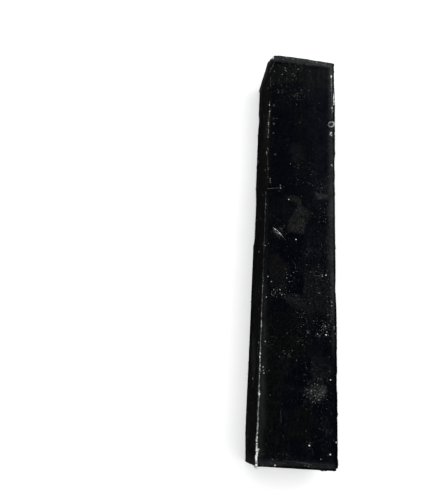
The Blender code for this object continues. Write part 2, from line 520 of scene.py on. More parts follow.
def wax_and_sheen_band_strengths(places):
    """How strong the pale wax film, partly painted sheen of the lit rounded edges, is beside the arrises and
    ends, from 0 to 1.
    """
    x, y, z = places.T / MM
    away = from_arris(places) / MM
    strengths = np.zeros(len(y))
    for arris, mine in at_arris_places(places):
        where, reach, strength = np.array(WAX_AND_SHEEN_BANDS[arris]).T
        reach = np.interp(y[mine], where, reach) * (1.0 + 0.25 * ragged(y[mine], 9.0, 41.0))
        fall = soft_step(BAND_STEEPNESS * (1.0 - away[mine] / reach)) ** BAND_POWER
        strengths[mine] = np.interp(y[mine], where, strength) * fall
    away = from_end(places) / MM
    below_top = z < HEIGHT / MM - 1.0
    low_reach, low_gain, low_steepness = BELOW_TOP_BAND
    low_reach = low_reach * (1.0 + 0.5 * ragged(z, 9.0, 51.0))
    for far, (reach, strength, steepness) in ((True, FAR_WAX_AND_SHEEN_BAND), (False, NEAR_BAND)):
        mine = (y > 0) == far
        wavy = 1.0 + 0.3 * ragged(x[mine], 11.0, 43.0) + 0.15 * ragged(x[mine], 3.5, 45.0)
        wavy = wavy * np.where(below_top, low_reach, reach)[mine]
        steep = np.where(below_top, low_steepness, steepness)[mine]
        gain = np.where(below_top, low_gain, 1.0)[mine]
        fall = soft_step(steep * (1.0 - away[mine] / wavy))
        strengths[mine] = np.maximum(strengths[mine], np.minimum(strength * gain, 1.0) * fall)
    return strengths


def rubbed_and_shaded_strengths(places):
    """How much the wax film is darkened along the arrises and the near end's edge, rubbed off and painted
    shade, from 0 to 1.
    """
    x, y, _ = places.T / MM
    away = from_arris(places)
    strengths = np.zeros(len(y))
    for arris, mine in at_arris_places(places):
        reach = RUBBED_AND_SHADED_REACH * (1.0 + 0.35 * ragged(y[mine], 7.0, 47.0))
        strengths[mine] = RUBBED_AND_SHADED[arris] * soft_step(RUBBED_AND_SHADED_STEEPNESS * (1.0 - away[mine] / reach))
    near = y < 0
    reach = np.interp(x[near], *np.array(NEAR_RUBBED_AND_SHADED).T) * MM * (1.0 + 0.3 * ragged(x[near], 3.0, 49.0))
    rubbed_and_shaded = soft_step(RUBBED_AND_SHADED_STEEPNESS * (1.0 - from_end(places[near]) / reach))
    strengths[near] = np.maximum(strengths[near], rubbed_and_shaded)
    return strengths


# Patches of finer spatter: column and row of the middle, spread in pixels across and down, how many specks
# and how bright
SPECK_CLUSTERS = (
    (292, 72, 8, 6, 26, 1.3), (299, 96, 5, 4, 16, 1.2), (286, 92, 6, 5, 10, 1), (297, 172, 1.5, 9, 9, 0.5),
    (303, 163, 6, 4, 9, 0.5), (313, 178, 6, 7, 12, 0.5), (323, 187, 4, 4, 22, 0.45),
    (322, 217, 5, 6, 12, 0.7), (300, 222, 6, 7, 20, 0.6), (282, 228, 4, 4, 16, 0.45),
    (308, 252, 4, 4, 10, 0.7), (328, 256, 3, 10, 18, 0.8), (294, 272, 5, 6, 12, 0.7),
    (277, 292, 4.4, 3.2, 21, 1), (320, 277, 6, 5, 20, 1.1), (300, 296, 9, 4, 10, 0.5),
    (331, 302, 2, 10, 18, 0.9), (302, 317, 4, 6, 16, 0.6), (324, 327, 5, 7, 48, 1),
    (300, 341, 4, 4, 12, 0.6), (268, 345, 4, 4, 6, 0.5), (286, 355, 5, 3, 8, 0.5), (318, 378, 8, 6, 22, 0.6),
    (315, 394, 7, 6, 62, 0.9), (326, 425, 5, 20, 34, 0.35), (283, 459, 5, 3, 10, 0.5),
    (309, 444, 3, 3, 8, 0.4),
)


def spatter_strengths(places):
    """How densely fine spatter lies on the upper face, from its patches in the photograph."""
    on_top = places[:, 2] > HEIGHT - 1.0 * MM
    strengths = np.zeros(len(places))
    for column, row, across, down, count, _ in SPECK_CLUSTERS:
        middle = on_face(column, row)
        reach_x = (on_face(column + across, row) - middle).length
        reach_y = (on_face(column, row + down) - middle).length
        far = ((places[:, 0] - middle.x) / reach_x) ** 2 + ((places[:, 1] - middle.y) / reach_y) ** 2
        dense = min(1.0, 0.35 + count / (across * down) * 0.5)
        strengths = np.maximum(strengths, dense * np.exp(-0.5 * far))
    return np.where(on_top, strengths, 0.0)


def relief_texture(name, size, depth=2):
    """A cloudy texture whose lumps are about size across."""
    texture = bpy.data.textures.new(name, "CLOUDS")
    texture.noise_scale = size
    texture.noise_depth = depth
    texture.noise_basis = "IMPROVED_PERLIN"
    return texture


def displace(obj, texture, height, guide=None, group=""):
    """Push the surface along its normals by a texture, in the guide's space where one is given."""
    settings = dict(texture=texture, strength=height, mid_level=0.5, vertex_group=group)
    if guide:
        settings.update(texture_coords="OBJECT", texture_coords_object=guide)
    else:
        settings.update(texture_coords="LOCAL")
    apply_modifier(obj, "DISPLACE", **settings)


def grain_guide(stretch):
    """An empty whose space is long along the grain, to stretch a texture."""
    deselect()
    bpy.ops.object.empty_add(location=(0, 0, 0))
    guide = bpy.context.object
    guide.scale = (1.0, stretch, 1.0)
    bpy.context.view_layer.update()
    return guide


# How large the lumps of each relief are, and how far those of torn grain are drawn out along it
WANDER_LUMPS = 45 * MM
SKIN_LUMPS = 8 * MM
TORN_LUMPS = 2.2 * MM
TORN_STRETCH = 9.0


def cut_block():
    """A block of the billet's size, cut finest beside its arrises and ends, and its vertices' places."""
    deselect()
    size = Vector((2 * HALF_WIDTH, 2 * HALF_LENGTH, HEIGHT))
    bpy.ops.mesh.primitive_cube_add(size=1.0, location=(0, 0, HEIGHT / 2), scale=size)
    wood = bpy.context.object
    wood.name = "waxed_ebony_wood"
    settle(wood)
    cut_along(wood, 1, MOST_CELLS_AT_ONCE - 1)
    cut_along(wood, 1, LENGTH_CELLS // MOST_CELLS_AT_ONCE - 1)
    cut_along(wood, 0, 2 * FINE_CELLS + COARSE_CELLS - 1)
    cut_along(wood, 2, 2 * FINE_CELLS + COARSE_CELLS - 1)
    places = vertex_places(wood)
    for axis in (0, 2):
        places[:, axis] = crowd_to_ends(places[:, axis], FINE_STRIP, FINE_CELLS, COARSE_CELLS)
    places[:, 1] = crowd_to_ends(places[:, 1], END_STRIP, END_CELLS, LENGTH_CELLS - 2 * END_CELLS)
    return wood, places


def raise_relief(wood):
    """Swell the wood into its wax rolls, and give it wandering faces, a lumpy skin and torn grain."""
    apply_modifier(wood, "DISPLACE", strength=ROLL_HEIGHT, mid_level=0.0, vertex_group="roll")
    displace(wood, relief_texture("wander", WANDER_LUMPS, 1), sizes().face_wander)
    displace(wood, relief_texture("wax_skin", SKIN_LUMPS, 2), sizes().skin_relief)
    guide = grain_guide(TORN_STRETCH)
    torn = relief_texture("torn_grain", TORN_LUMPS, 3)
    displace(wood, torn, sizes().fracture_relief, guide, "broken")
    bpy.data.objects.remove(guide)


def add_wood():
    """The sawn billet: a finely cut block, eased, chipped and given its relief."""
    wood, places = cut_block()
    # The pale band is partly painted sheen, and the rubbed mask is partly painted shade
    point_values(wood, "wax_and_sheen_band", wax_and_sheen_band_strengths(places))
    point_values(wood, "rubbed_and_shaded", rubbed_and_shaded_strengths(places))
    point_values(wood, "spatter", spatter_strengths(places))
    rolls = roll_weights(places)
    places, broken = round_arrises(places)
    move_vertices(wood, round_ends(places))
    point_values(wood, "broken", broken)
    weight_group(wood, "broken", broken)
    weight_group(wood, "roll", rolls * (1.0 - broken))
    raise_relief(wood)
    wood.vertex_groups.clear()
    lift_above_floor(wood)
    smooth(wood)
    return wood


# How far outside the wood a line of sight starts, and how many pixels aside one that misses is tried again
REACH = 20 * MM
NUDGES = (0.0, 0.6, 1.2, 1.8)


class Surface:
    """The finished wood's surface, for setting wax on it."""

    def __init__(self, wood):
        self.tree = BVHTree.FromObject(wood, bpy.context.evaluated_depsgraph_get())

    def met_by(self, start, direction):
        """Where a straight line first meets the wood, with the surface's normal, or None."""
        place, normal, _, _ = self.tree.ray_cast(Vector(start), Vector(direction).normalized())
        return None if place is None else (place, normal)

    def above(self, x, y):
        """The upper face's surface at x and y."""
        return self.met_by((x, y, HEIGHT + REACH), (0, 0, -1))

    def under_pixel(self, column, row):
        """The surface that a pixel of the photograph shows, or that one just beside it, or None."""
        for nudge in NUDGES:
            inward = nudge if column < FACE_MIDDLE.x else -nudge
            downward = nudge if row < FACE_MIDDLE.y else -nudge
            for across, down in ((inward, 0.0), (0.0, downward), (inward, downward)):
                sight = on_face(column + across, row + down) - CAMERA_PLACE
                found = self.met_by(CAMERA_PLACE, sight)
                if found:
                    return found
        return None

    def at_edge(self, place, outward):
        """The outermost wood of an edge of the block near a place, seen along its outward direction."""
        return self.met_by(Vector(place) + Vector(outward) * REACH, -Vector(outward))

    def at_arris(self, arris, y):
        """The outermost wood of a long arris at y."""
        side, upper = ARRISES[arris]
        level = HEIGHT if upper else 0.0
        return self.at_edge((side * HALF_WIDTH, y, level), (side, 0, 1 if upper else -1))


def surface():
    """The finished wood's surface."""
    return Surface(bpy.data.objects["waxed_ebony_wood"])


# Wax. A bead is a squashed ball that sits on the wood: its radii are across, along and out of the surface,
# its heading is the way that its length points, and its whiteness runs from 0, clear, to 1.
Bead = namedtuple("Bead", "place normal radii whiteness heading", defaults=((0.0, 1.0, 0.0),))


def lie_on(normal, heading):
    """A turn that takes Z to the normal and keeps Y near the heading."""
    up = Vector(normal).normalized()
    along = Vector(heading) - up * Vector(heading).dot(up)
    if along.length < 1e-6:
        along = up.orthogonal()
    along.normalize()
    across = along.cross(up)
    return Matrix((across, along, up)).transposed().to_4x4()


def set_beads(name, beads, detail=1):
    """One piece made of copies of a ball, each squashed and set at its bead's place."""
    deselect()
    bpy.ops.mesh.primitive_ico_sphere_add(subdivisions=detail, radius=1.0, location=(0, 0, 0))
    ball = bpy.context.object
    copies = []
    for bead in beads:
        copy = ball.copy()
        copy.data = ball.data.copy()
        turn = lie_on(bead.normal, bead.heading)
        copy.matrix_world = Matrix.Translation(bead.place) @ turn @ Matrix.Diagonal((*bead.radii, 1.0))
        bpy.context.scene.collection.objects.link(copy)
        copies.append(copy)
    bpy.data.objects.remove(ball)
    for copy in copies:
        copy.select_set(True)
    bpy.context.view_layer.objects.active = copies[0]
    bpy.ops.object.join()
    piece = bpy.context.object
    piece.name = name
    settle(piece)
    smooth(piece)
    return piece


def melt(piece, voxel, smoothing):
    """Fuse overlapping beads into one smooth skin of wax."""
    apply_modifier(piece, "REMESH", mode="VOXEL", voxel_size=voxel, use_smooth_shade=True)
    apply_modifier(piece, "SMOOTH", factor=0.5, iterations=smoothing)


def whiten(piece, beads):
    """Give each vertex the whiteness of its nearest bead."""
    tree = KDTree(len(beads))
    for i, bead in enumerate(beads):
        tree.insert(bead.place, i)
    tree.balance()
    places = vertex_places(piece)
    point_values(piece, "whiteness", [beads[tree.find(place)[1]].whiteness for place in places])


def add_wax(name, beads, voxel=None, smoothing=2):
    """A piece of wax from its beads: melted together where a voxel is given, and otherwise loose."""
    piece = set_beads(name, beads, 2 if voxel else 1)
    if voxel:
        melt(piece, voxel, smoothing)
    lift_above_floor(piece)
    whiten(piece, beads)
    dress(piece, shared_material("set_wax", wax_material))


def dress(piece, material, replaced=()):
    """Give a finished piece its material and its place in the frame."""
    piece.data.materials.clear()
    piece.data.materials.append(material)
    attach(piece, BODY)
    if replaced:
        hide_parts(*replaced)


# Ridge of wax along the upper left arris, by the photograph's rows: half-width and height in millimetres,
# and whiteness
LEFT_RIDGE = (
    (190, 0.22, 0.16, 0.07), (202, 0.24, 0.18, 0.1), (207, 0.24, 0.18, 0.11), (212, 0.2, 0.15, 0.06),
    (245, 0.2, 0.15, 0.06), (277, 0.2, 0.15, 0.06), (282, 0.26, 0.2, 0.17), (300, 0.26, 0.2, 0.17),
    (310, 0.26, 0.2, 0.13), (316, 0.26, 0.2, 0.13), (321, 0.28, 0.24, 0.24), (324.7, 0.4, 0.36, 0.95),
    (328, 0.24, 0.22, 0.1), (345, 0.3, 0.28, 0.12), (353, 0.42, 0.4, 0.45), (358, 0.42, 0.4, 0.5),
    (361, 0.32, 0.3, 0.15), (368, 0.52, 0.46, 0.42), (374, 0.46, 0.42, 0.36), (379, 0.34, 0.34, 0.14),
    (387, 0.4, 0.4, 0.3), (390, 0.36, 0.36, 0.15), (393.5, 0.5, 0.46, 0.75), (398, 0.44, 0.4, 0.2),
    (420, 0.44, 0.42, 0.18), (424, 0.48, 0.46, 0.4), (431, 0.44, 0.44, 0.28), (434, 0.44, 0.44, 0.5),
    (447, 0.56, 0.54, 0.7), (452, 0.72, 0.64, 0.95), (467.5, 0.78, 0.7, 1),
)

# Lengths of wax left on the splintered part of that arris, in the photograph: column, first and last row,
# half-width in millimetres and whiteness
LEFT_DASHES = (
    (270.5, 77, 86.5, 0.24, 0.08), (269.6, 102.2, 103.4, 0.32, 0.26), (269.6, 103.8, 105.5, 0.46, 1.25),
    (269.4, 107.8, 108.4, 0.2, 0.12), (269.6, 110.9, 111.6, 0.5, 1.5), (269.6, 112.2, 113.4, 0.36, 0.42),
    (269.5, 114.2, 116.2, 0.38, 0.7), (268.9, 119.2, 120.2, 0.26, 0.15), (268.8, 121.4, 122.4, 0.36, 0.38),
    (268.6, 122.9, 124.3, 0.52, 1.5), (268.6, 125.8, 126.8, 0.34, 0.32), (268.6, 129.9, 130.6, 0.46, 1.35),
    (268.6, 131.4, 133.2, 0.38, 0.48), (267.8, 135.2, 136.4, 0.3, 0.22), (267.8, 136.9, 137.6, 0.4, 0.55),
    (268.2, 141, 142, 0.2, 0.05), (268, 148, 149.5, 0.38, 0.42), (266.7, 151.9, 154.2, 0.46, 0.62),
    (267.7, 155.8, 157.2, 0.28, 0.17), (267.7, 160, 161.2, 0.28, 0.16), (267.7, 163.1, 164.3, 0.28, 0.18),
    (268.2, 167.9, 169.3, 0.38, 0.38), (267.5, 171.5, 174.5, 0.2, 0.05), (267.6, 176.9, 177.5, 0.24, 0.12),
    (270.1, 178.7, 180.3, 0.38, 0.26), (270.2, 181.2, 182.6, 0.34, 0.2), (273.4, 118.4, 119.6, 0.6, 0.06),
)

# Other thin lines of wax, in the photograph: from column and row to column and row, half-width in
# millimetres and whiteness
THREADS = (
    (274.8, 61.1, 271.6, 67.8, 0.24, 0.09), (271.6, 67.8, 269.1, 73.1, 0.26, 0.16),
    (273.5, 118.5, 278, 118.5, 0.28, 0.04), (267.8, 188.5, 272.1, 188.5, 0.34, 0.11),
    (272.4, 188.3, 279.5, 188, 0.5, 0.03), (280.6, 185.2, 280.6, 189, 0.46, 0.22),
    (278.4, 191.2, 279.6, 191.2, 0.34, 0.035), (273.2, 227.8, 275.8, 229.2, 0.36, 0.26),
    (274.2, 228.8, 278.2, 231, 0.42, 0.62), (273.8, 230.4, 276.6, 232.2, 0.32, 0.16),
    (277.4, 230.9, 279.6, 233, 0.4, 0.34), (279, 232.6, 281.2, 234.8, 0.46, 0.85),
    (277.2, 232.6, 280.2, 235.2, 0.34, 0.22), (281.2, 234.8, 283.2, 237, 0.32, 0.2),
    (283.4, 237.2, 285.4, 239.6, 0.28, 0.08), (279.8, 228.6, 282.6, 231.4, 0.3, 0.05),
    (276.4, 234.8, 279.6, 238.2, 0.26, 0.04), (273, 231.6, 277.5, 234, 0.4, 0.04),
    (317, 196.6, 327.4, 196.8, 0.42, 0.015), (316.2, 194.4, 322, 193.8, 0.44, 0.03),
    (318, 196, 326.5, 195.6, 0.5, 0.035), (308, 69.6, 312.4, 72.6, 0.22, 0.015),
    (297.2, 95.4, 305.6, 88.2, 0.22, 0.012), (318, 118, 321, 120.7, 0.22, 0.025),
    (280.4, 410, 281.2, 422, 0.28, 0.016), (312.4, 450, 313.4, 455, 0.28, 0.014),
    (297, 462.6, 303, 462.8, 0.34, 0.035), (303, 462.8, 307, 463.8, 0.36, 0.05),
    (307, 463.8, 311.6, 464.6, 0.42, 0.055), (270, 461.6, 272, 463.8, 0.3, 0.03),
    (277, 462.6, 286, 463.2, 0.24, 0.025), (286, 461.2, 298, 461.4, 0.24, 0.02),
    (312, 463.4, 334, 465, 0.24, 0.014), (319.5, 250, 322.5, 247, 0.26, 0.03),
    (323, 390.5, 326.5, 392.6, 0.34, 0.05), (326.3, 386.6, 324, 391, 0.3, 0.045),
    (333.9, 90.5, 333.9, 93, 0.4, 0.4), (333.8, 94.6, 333.9, 105, 0.6, 1),
    (330.8, 65, 331.2, 74, 0.55, 0.074), (331.3, 77.5, 331.5, 86, 0.45, 0.211),
    (331.6, 87, 331.9, 97, 0.5, 0.136), (332, 98, 332.1, 106, 0.45, 0.099),
    (332, 109, 332.2, 113, 0.42, 0.174), (330.2, 68, 330.4, 92, 0.5, 0.031),
    (331.8, 113, 332, 118, 0.45, 0.062), (275, 57.2, 283, 57.6, 0.45, 0.036),
    (284.6, 57.4, 287, 57.8, 0.6, 0.156), (287, 58.4, 292, 59, 0.45, 0.054),
    (291, 58.6, 294, 59.6, 0.5, 0.12), (295, 59.4, 301, 60.2, 0.4, 0.042),
    (301, 60.2, 305, 60.8, 0.5, 0.072), (308, 60.8, 311, 61.6, 0.5, 0.12), (312, 62.4, 319, 63.6, 0.6, 0.09),
    (319, 63.4, 326, 65, 0.5, 0.054), (322, 64.6, 331, 66.6, 0.7, 0.084), (278, 60, 290, 61.6, 0.4, 0.021),
    (289, 64, 293.4, 70.2, 0.22, 0.02), (300.6, 66, 303, 69.4, 0.24, 0.03),
    (306.6, 330.8, 309.6, 333.6, 0.24, 0.09), (309.6, 331, 306.8, 333.8, 0.24, 0.09),
)


# Column of the photograph where the ridge stands, and how much whiter or clearer than usual its beads are
RIDGE_COLUMN = 260
RIDGE_TONES = (0.15, 0.4, 0.8, 1.1, 1.6)

# Lumps at the ridge's near end: across X, along Y and down Z from the block's corner, and radius, in
# millimetres
NEAR_LEFT_LUMPS = (
    (0.4, 0.6, 0.2, 0.9), (0, -0.1, 0.9, 0.8), (-0.3, 0.3, 1.7, 0.7), (0.5, -0.3, 1.6, 0.6),
)


def add_ridge(wood):
    """The ragged ridge of wax that runs down the upper left arris to the near end, and its end lumps."""
    rng = random.Random(11)
    rows, widths, heights, whites = np.array(LEFT_RIDGE).T
    beads = []
    row = rows[0]
    while row < rows[-1]:
        lump = rng.uniform(0.6, 1.32)
        width = np.interp(row, rows, widths) * lump
        height = np.interp(row, rows, heights) * lump
        white = np.interp(row, rows, whites) * rng.choice(RIDGE_TONES)
        y = on_face(RIDGE_COLUMN, row).y
        place, normal = wood.at_arris("upper_left", y)
        place += Vector((rng.gauss(0.05, 0.20), 0, rng.gauss(0, 0.05))) * MM
        radii = Vector((width, rng.uniform(0.7, 1.1), height)) * MM
        beads.append(Bead(place, normal, radii, white))
        row += rng.uniform(0.7, 1.2)
    for x, y, down, radius in NEAR_LEFT_LUMPS:
        place = Vector((-HALF_WIDTH + x * MM, -HALF_LENGTH + y * MM, HEIGHT - down * MM))
        beads.append(Bead(place, (-1, -1, 1), Vector((1, 1.3, 1)) * radius * MM, 1.0))
    add_wax("left_wax_ridge", beads, 0.2 * MM, 2)


# How far apart the beads of a line are, how long they are, and the share of them that is there
THREAD_PITCH = 0.45 * MM
THREAD_BEAD_LENGTH = 0.42 * MM
THREAD_SHARE = 0.93


def thread_beads(wood, rng, start, end, width, white):
    """Beads in a thin line between two pixels of the photograph, where they show the wood."""
    first = on_face(*start)
    last = on_face(*end)
    heading = last - first
    count = max(2, int(heading.length / THREAD_PITCH))
    beads = []
    for i in range(count):
        share = i / (count - 1)
        column = start[0] + (end[0] - start[0]) * share + rng.gauss(0, 0.12)
        row = start[1] + (end[1] - start[1]) * share
        found = wood.under_pixel(column, row) or wood.under_pixel(column + 1.0, row)
        if found and rng.random() < THREAD_SHARE:
            place, normal = found
            across = width * rng.uniform(0.7, 1.2) * MM
            radii = (across, THREAD_BEAD_LENGTH, across * 0.55)
            beads.append(Bead(place, normal, radii, white * rng.uniform(0.6, 1.3), heading))
    return beads


def add_threads(wood):
    """Dashes of wax on the splintered arris, and thin lines and smears of it on the upper face."""
    rng = random.Random(12)
    beads = []
    for column, first, last, width, white in LEFT_DASHES:
        beads += thread_beads(wood, rng, (column, first), (column, last), width, white)
    for column, row, end_column, end_row, width, white in THREADS:
        beads += thread_beads(wood, rng, (column, row), (end_column, end_row), width, white)
    add_wax("wax_threads", beads)


# Wax lumps placed in the photograph: column, row, radius in millimetres and whiteness
LUMPS = (
    (273.9, 105.4, 1.1, 0.025), (273.8, 123.8, 1.2, 0.035), (273.4, 133.2, 0.8, 0.045),
    (275.2, 154.4, 0.9, 0.03), (273.2, 57.6, 0.95, 0.75), (272.6, 58.8, 0.6, 0.3), (286.5, 57.6, 0.7, 0.16),
    (288, 57.8, 0.5, 0.1), (293, 59.4, 0.6, 0.12), (309, 60.8, 0.6, 0.1), (316.6, 62, 0.7, 0.2),
    (325.5, 63.6, 0.6, 0.12), (331.2, 76.2, 0.75, 0.75), (331.2, 77.8, 0.6, 0.6), (331.4, 85.2, 0.55, 0.25),
    (332, 108, 0.8, 0.4), (332.9, 111, 0.5, 0.22), (331.6, 165.1, 0.65, 0.35), (332.3, 166.5, 0.4, 0.2),
    (333.2, 183.2, 0.4, 0.2), (333.2, 159.4, 0.35, 0.12), (263, 366.8, 0.52, 0.5), (263.4, 370.4, 0.46, 0.2),
    (263.9, 373.2, 0.52, 0.42), (258.6, 449.4, 0.7, 0.45), (258, 451.2, 0.55, 0.3), (334.2, 327, 0.45, 0.3),
    (334.2, 329, 0.4, 0.2), (336.4, 442.3, 0.6, 0.45), (305, 465.6, 0.55, 0.05), (308.5, 466.4, 0.6, 0.08),
)

# Specks of spattered wax that stand out, in the photograph: column, row and how bright, from 1 to 3
SPECKS = (
    (298.3, 69.2, 2), (282.3, 74.5, 2), (273.4, 84.2, 1), (281.5, 85.1, 1), (278.1, 92.6, 1), (293, 79.8, 1),
    (285.5, 68.4, 1), (289, 63, 1), (297.2, 95.2, 1), (294.2, 95.4, 1), (275.3, 154.4, 1), (310.6, 174.5, 1),
    (297.9, 167.8, 1), (297.9, 164.1, 1), (288.8, 199.4, 3), (301.6, 196.2, 1), (296.2, 210.4, 1),
    (300.2, 223.7, 1), (325.6, 219, 1), (325.6, 222.4, 1), (320.3, 208.6, 1), (330.4, 215.3, 1),
    (271, 232, 1), (296, 239.6, 3), (321.7, 245, 1), (265.3, 245.5, 2), (268.4, 243.5, 1), (306.6, 264.8, 1),
    (305.6, 254, 1), (318.7, 267, 1), (285.8, 269, 1), (286.8, 278, 2), (290.9, 275.8, 1), (289.2, 281.5, 1),
    (295.5, 267.4, 1), (268, 276.5, 2), (271.4, 281.6, 2), (266.4, 297.1, 2), (273.8, 289.5, 2),
    (275.5, 292, 1), (280, 289.7, 2), (281.8, 294.7, 2), (272.8, 295.2, 1), (296.2, 295.6, 1),
    (326, 275.2, 3), (322.3, 276.3, 2), (318.7, 275.8, 1), (319.7, 293.2, 2), (327.4, 301.3, 1),
    (327.7, 315, 1), (310, 303.5, 1), (303.4, 313.5, 1), (299.2, 317.3, 1), (302.2, 317.3, 1),
    (301.2, 326.4, 1), (303.6, 324.7, 1), (322, 320.7, 1), (325.4, 326.4, 2), (328.7, 325, 1), (327, 332, 2),
    (326, 335, 3), (317.5, 334.1, 2), (319.7, 336.8, 1), (307.6, 332, 1), (313.6, 321, 1), (265.3, 341.5, 2),
    (297.9, 341.5, 1), (302.6, 344.8, 1), (279.5, 356.6, 1), (284.7, 353.6, 1), (296.5, 360.3, 1),
    (330.5, 379.9, 3), (306.4, 367.8, 1), (306.4, 389.4, 1), (311.4, 391, 2), (314.6, 390.2, 1),
    (307, 397, 1), (310.3, 398.8, 1), (315, 395.8, 2), (318, 394.5, 1), (318.9, 400, 2), (312.4, 402.3, 1),
    (314.6, 383.8, 1), (317.2, 384.6, 1), (326.7, 408.7, 1), (321.3, 418.2, 1), (326.7, 432, 1),
    (309.4, 445.6, 3), (330.3, 454.6, 3), (320.9, 459.2, 2), (275, 465.4, 3), (270.2, 395, 1),
    (331.9, 302.5, 2), (331.8, 306, 2), (328.4, 176.5, 1),
)

# Their size, beside the usual, and whiteness by how bright they are
SPECK_SIZES = {1: 0.9, 2: 1.15, 3: 1.35}
SPECK_WHITENESS = {1: 0.12, 2: 0.36, 3: 1.0}

# How many specks are set for each one that a patch of spatter counts
CLUSTER_GAIN = 1.7

# How far from the blank's axis the lines of sight to its scattered specks start
SCATTER_REACH = 0.2

# Round splashes on the sides and ends: where their sight lines start, which way those run, and how many.
# Then the range of their sizes, beside a usual speck's, and how white they are.
SIDE_SPATTER = (
    ((0.2, 0.0, 0.0), (-1, 0, 0), 16),
    ((-0.2, 0.0, 0.0), (1, 0, 0), 16),
    ((0.0, 0.3, 0.0), (0, -1, 0), 5),
    ((0.0, -0.3, 0.0), (0, 1, 0), 5),
)
SPLASH_SIZES = (1.2, 2.6)
SPLASH_TONES = (0.02, 0.03, 0.05, 0.08, 0.25)


def speck_at(rng, found, size, white):
    """The bead of a speck where a line of sight met the wood, in a list that is empty where it missed."""
    if not found:
        return []
    across = sizes().speck_radius * size * rng.uniform(0.85, 1.15)
    radii = (across, across * rng.uniform(0.85, 1.35), across * rng.uniform(0.4, 0.6))
    heading = (rng.uniform(-1, 1), rng.uniform(-1, 1), rng.uniform(-1, 1))
    return [Bead(*found, radii, white, heading)]


def placed_specks(wood, rng):
    """The specks that stand out in the photograph, and the patches of finer ones."""
    beads = []
    for column, row, brightness in SPECKS:
        white = SPECK_WHITENESS[brightness] * rng.uniform(0.8, 1.2)
        beads += speck_at(rng, wood.under_pixel(column, row), SPECK_SIZES[brightness], white)
    for column, row, across, down, count, bright in SPECK_CLUSTERS:
        for _ in range(int(count * CLUSTER_GAIN)):
            found = wood.under_pixel(rng.gauss(column, across), rng.gauss(row, down))
            size = 0.34 + 0.4 * rng.random() ** 2
            beads += speck_at(rng, found, size, bright * (0.04 + 0.5 * rng.random() ** 3))
    return beads


def scattered_specks(wood, rng):
    """Small specks scattered over all six faces, dimmer on the upper one."""
    beads = []
    for _ in range(sizes().scattered_specks):
        y = rng.uniform(-HALF_LENGTH, HALF_LENGTH) * 0.995
        angle = rng.uniform(0, 2 * math.pi)
        start = Vector((SCATTER_REACH * math.cos(angle), y, HEIGHT / 2 + SCATTER_REACH * math.sin(angle)))
        aim = Vector((rng.uniform(-0.9, 0.9) * HALF_WIDTH, y, rng.uniform(0.05, 0.95) * HEIGHT))
        found = wood.met_by(start, aim - start)
        dimmer = 0.5 if found and found[1].z > 0.5 else 1.0
        size = 0.3 + 0.7 * rng.random() ** 4
        beads += speck_at(rng, found, size, dimmer * (0.03 + 0.6 * rng.random() ** 5))
    return beads


def side_splashes(wood, rng):
    """Larger splashes on the sides and end faces."""
    beads = []
    for start, aim, count in SIDE_SPATTER:
        for _ in range(count):
            away = Vector((0.0, rng.uniform(-0.9, 0.9) * HALF_LENGTH, rng.uniform(0.1, 0.95) * HEIGHT))
            if start[1]:
                away = Vector((rng.uniform(-0.85, 0.85) * HALF_WIDTH, 0.0, away.z))
            found = wood.met_by(Vector(start) + away, aim)
            beads += speck_at(rng, found, rng.uniform(*SPLASH_SIZES), rng.choice(SPLASH_TONES))
    return beads


def add_specks(wood):
    """Spattered specks of wax, on every face."""
    rng = random.Random(13)
    beads = placed_specks(wood, rng)
    beads += scattered_specks(wood, rng)
    beads += side_splashes(wood, rng)
    add_wax("wax_specks", beads)


# The wax ring beside the upper right arris: its pixel in the photograph, its size, the angle of the side
# that its last wax ran to, and how finely it and the drop are melted
RING_PIXEL = (331.1, 124.5)
RING_RADIUS = 2.2 * MM
RING_BEADS = 26
RING_LEAN = math.radians(-15)
DROP_VOXEL = 0.18 * MM

# The three-sided drop's beads in the photograph: column, row, radius in millimetres and whiteness
DROP_BEADS = (
    (331, 133, 0.95, 0.8), (330.2, 134.4, 0.7, 0.45), (331.6, 135.4, 0.62, 0.5),
)


def add_ring(wood, rng):
    """A drop that dried with a raised rim and a dished middle."""
    beads = []
    place, normal = wood.under_pixel(*RING_PIXEL)
    up = (normal + Vector((0.0, 0.0, 2.0))).normalized()
    turn = lie_on(up, (0, 1, 0))
    for i in range(RING_BEADS):
        angle = 2 * math.pi * i / RING_BEADS
        reach = RING_RADIUS * (1.0 + 0.06 * math.sin(2 * angle) + rng.uniform(-0.02, 0.02))
        offset = turn @ Vector((math.cos(angle), math.sin(angle), 0.0)) * reach
        found = wood.above(place.x + offset.x, place.y + offset.y)
        spot = found[0] if found else place + offset
        # The rim is thickest and whitest on the side that its last wax ran to
        lean = 0.5 + 0.5 * math.cos(angle - RING_LEAN)
        thick = (0.36 + 0.20 * lean) * rng.uniform(0.85, 1.15) * MM
        beads.append(Bead(spot + up * 0.12 * MM, up, (thick, thick, thick * 0.85), 0.20 + 0.36 * lean))
    for i in range(RING_BEADS // 2):
        angle = 4 * math.pi * i / RING_BEADS
        offset = turn @ Vector((math.cos(angle), math.sin(angle), 0.0)) * RING_RADIUS * 0.45
        found = wood.above(place.x + offset.x, place.y + offset.y)
        if found:
            beads.append(Bead(found[0], up, (0.62 * MM, 0.62 * MM, 0.24 * MM), rng.uniform(0.02, 0.05)))
    add_wax("wax_ring", beads, DROP_VOXEL, 2)


def add_drop(wood):
    """A plain three-sided drop near the ring."""
    beads = []
    for column, row, radius, white in DROP_BEADS:
        place, normal = wood.under_pixel(column, row)
        beads.append(Bead(place, normal, Vector((1.0, 1.1, 0.7)) * radius * MM, white))
    add_wax("wax_drop", beads, DROP_VOXEL, 3)


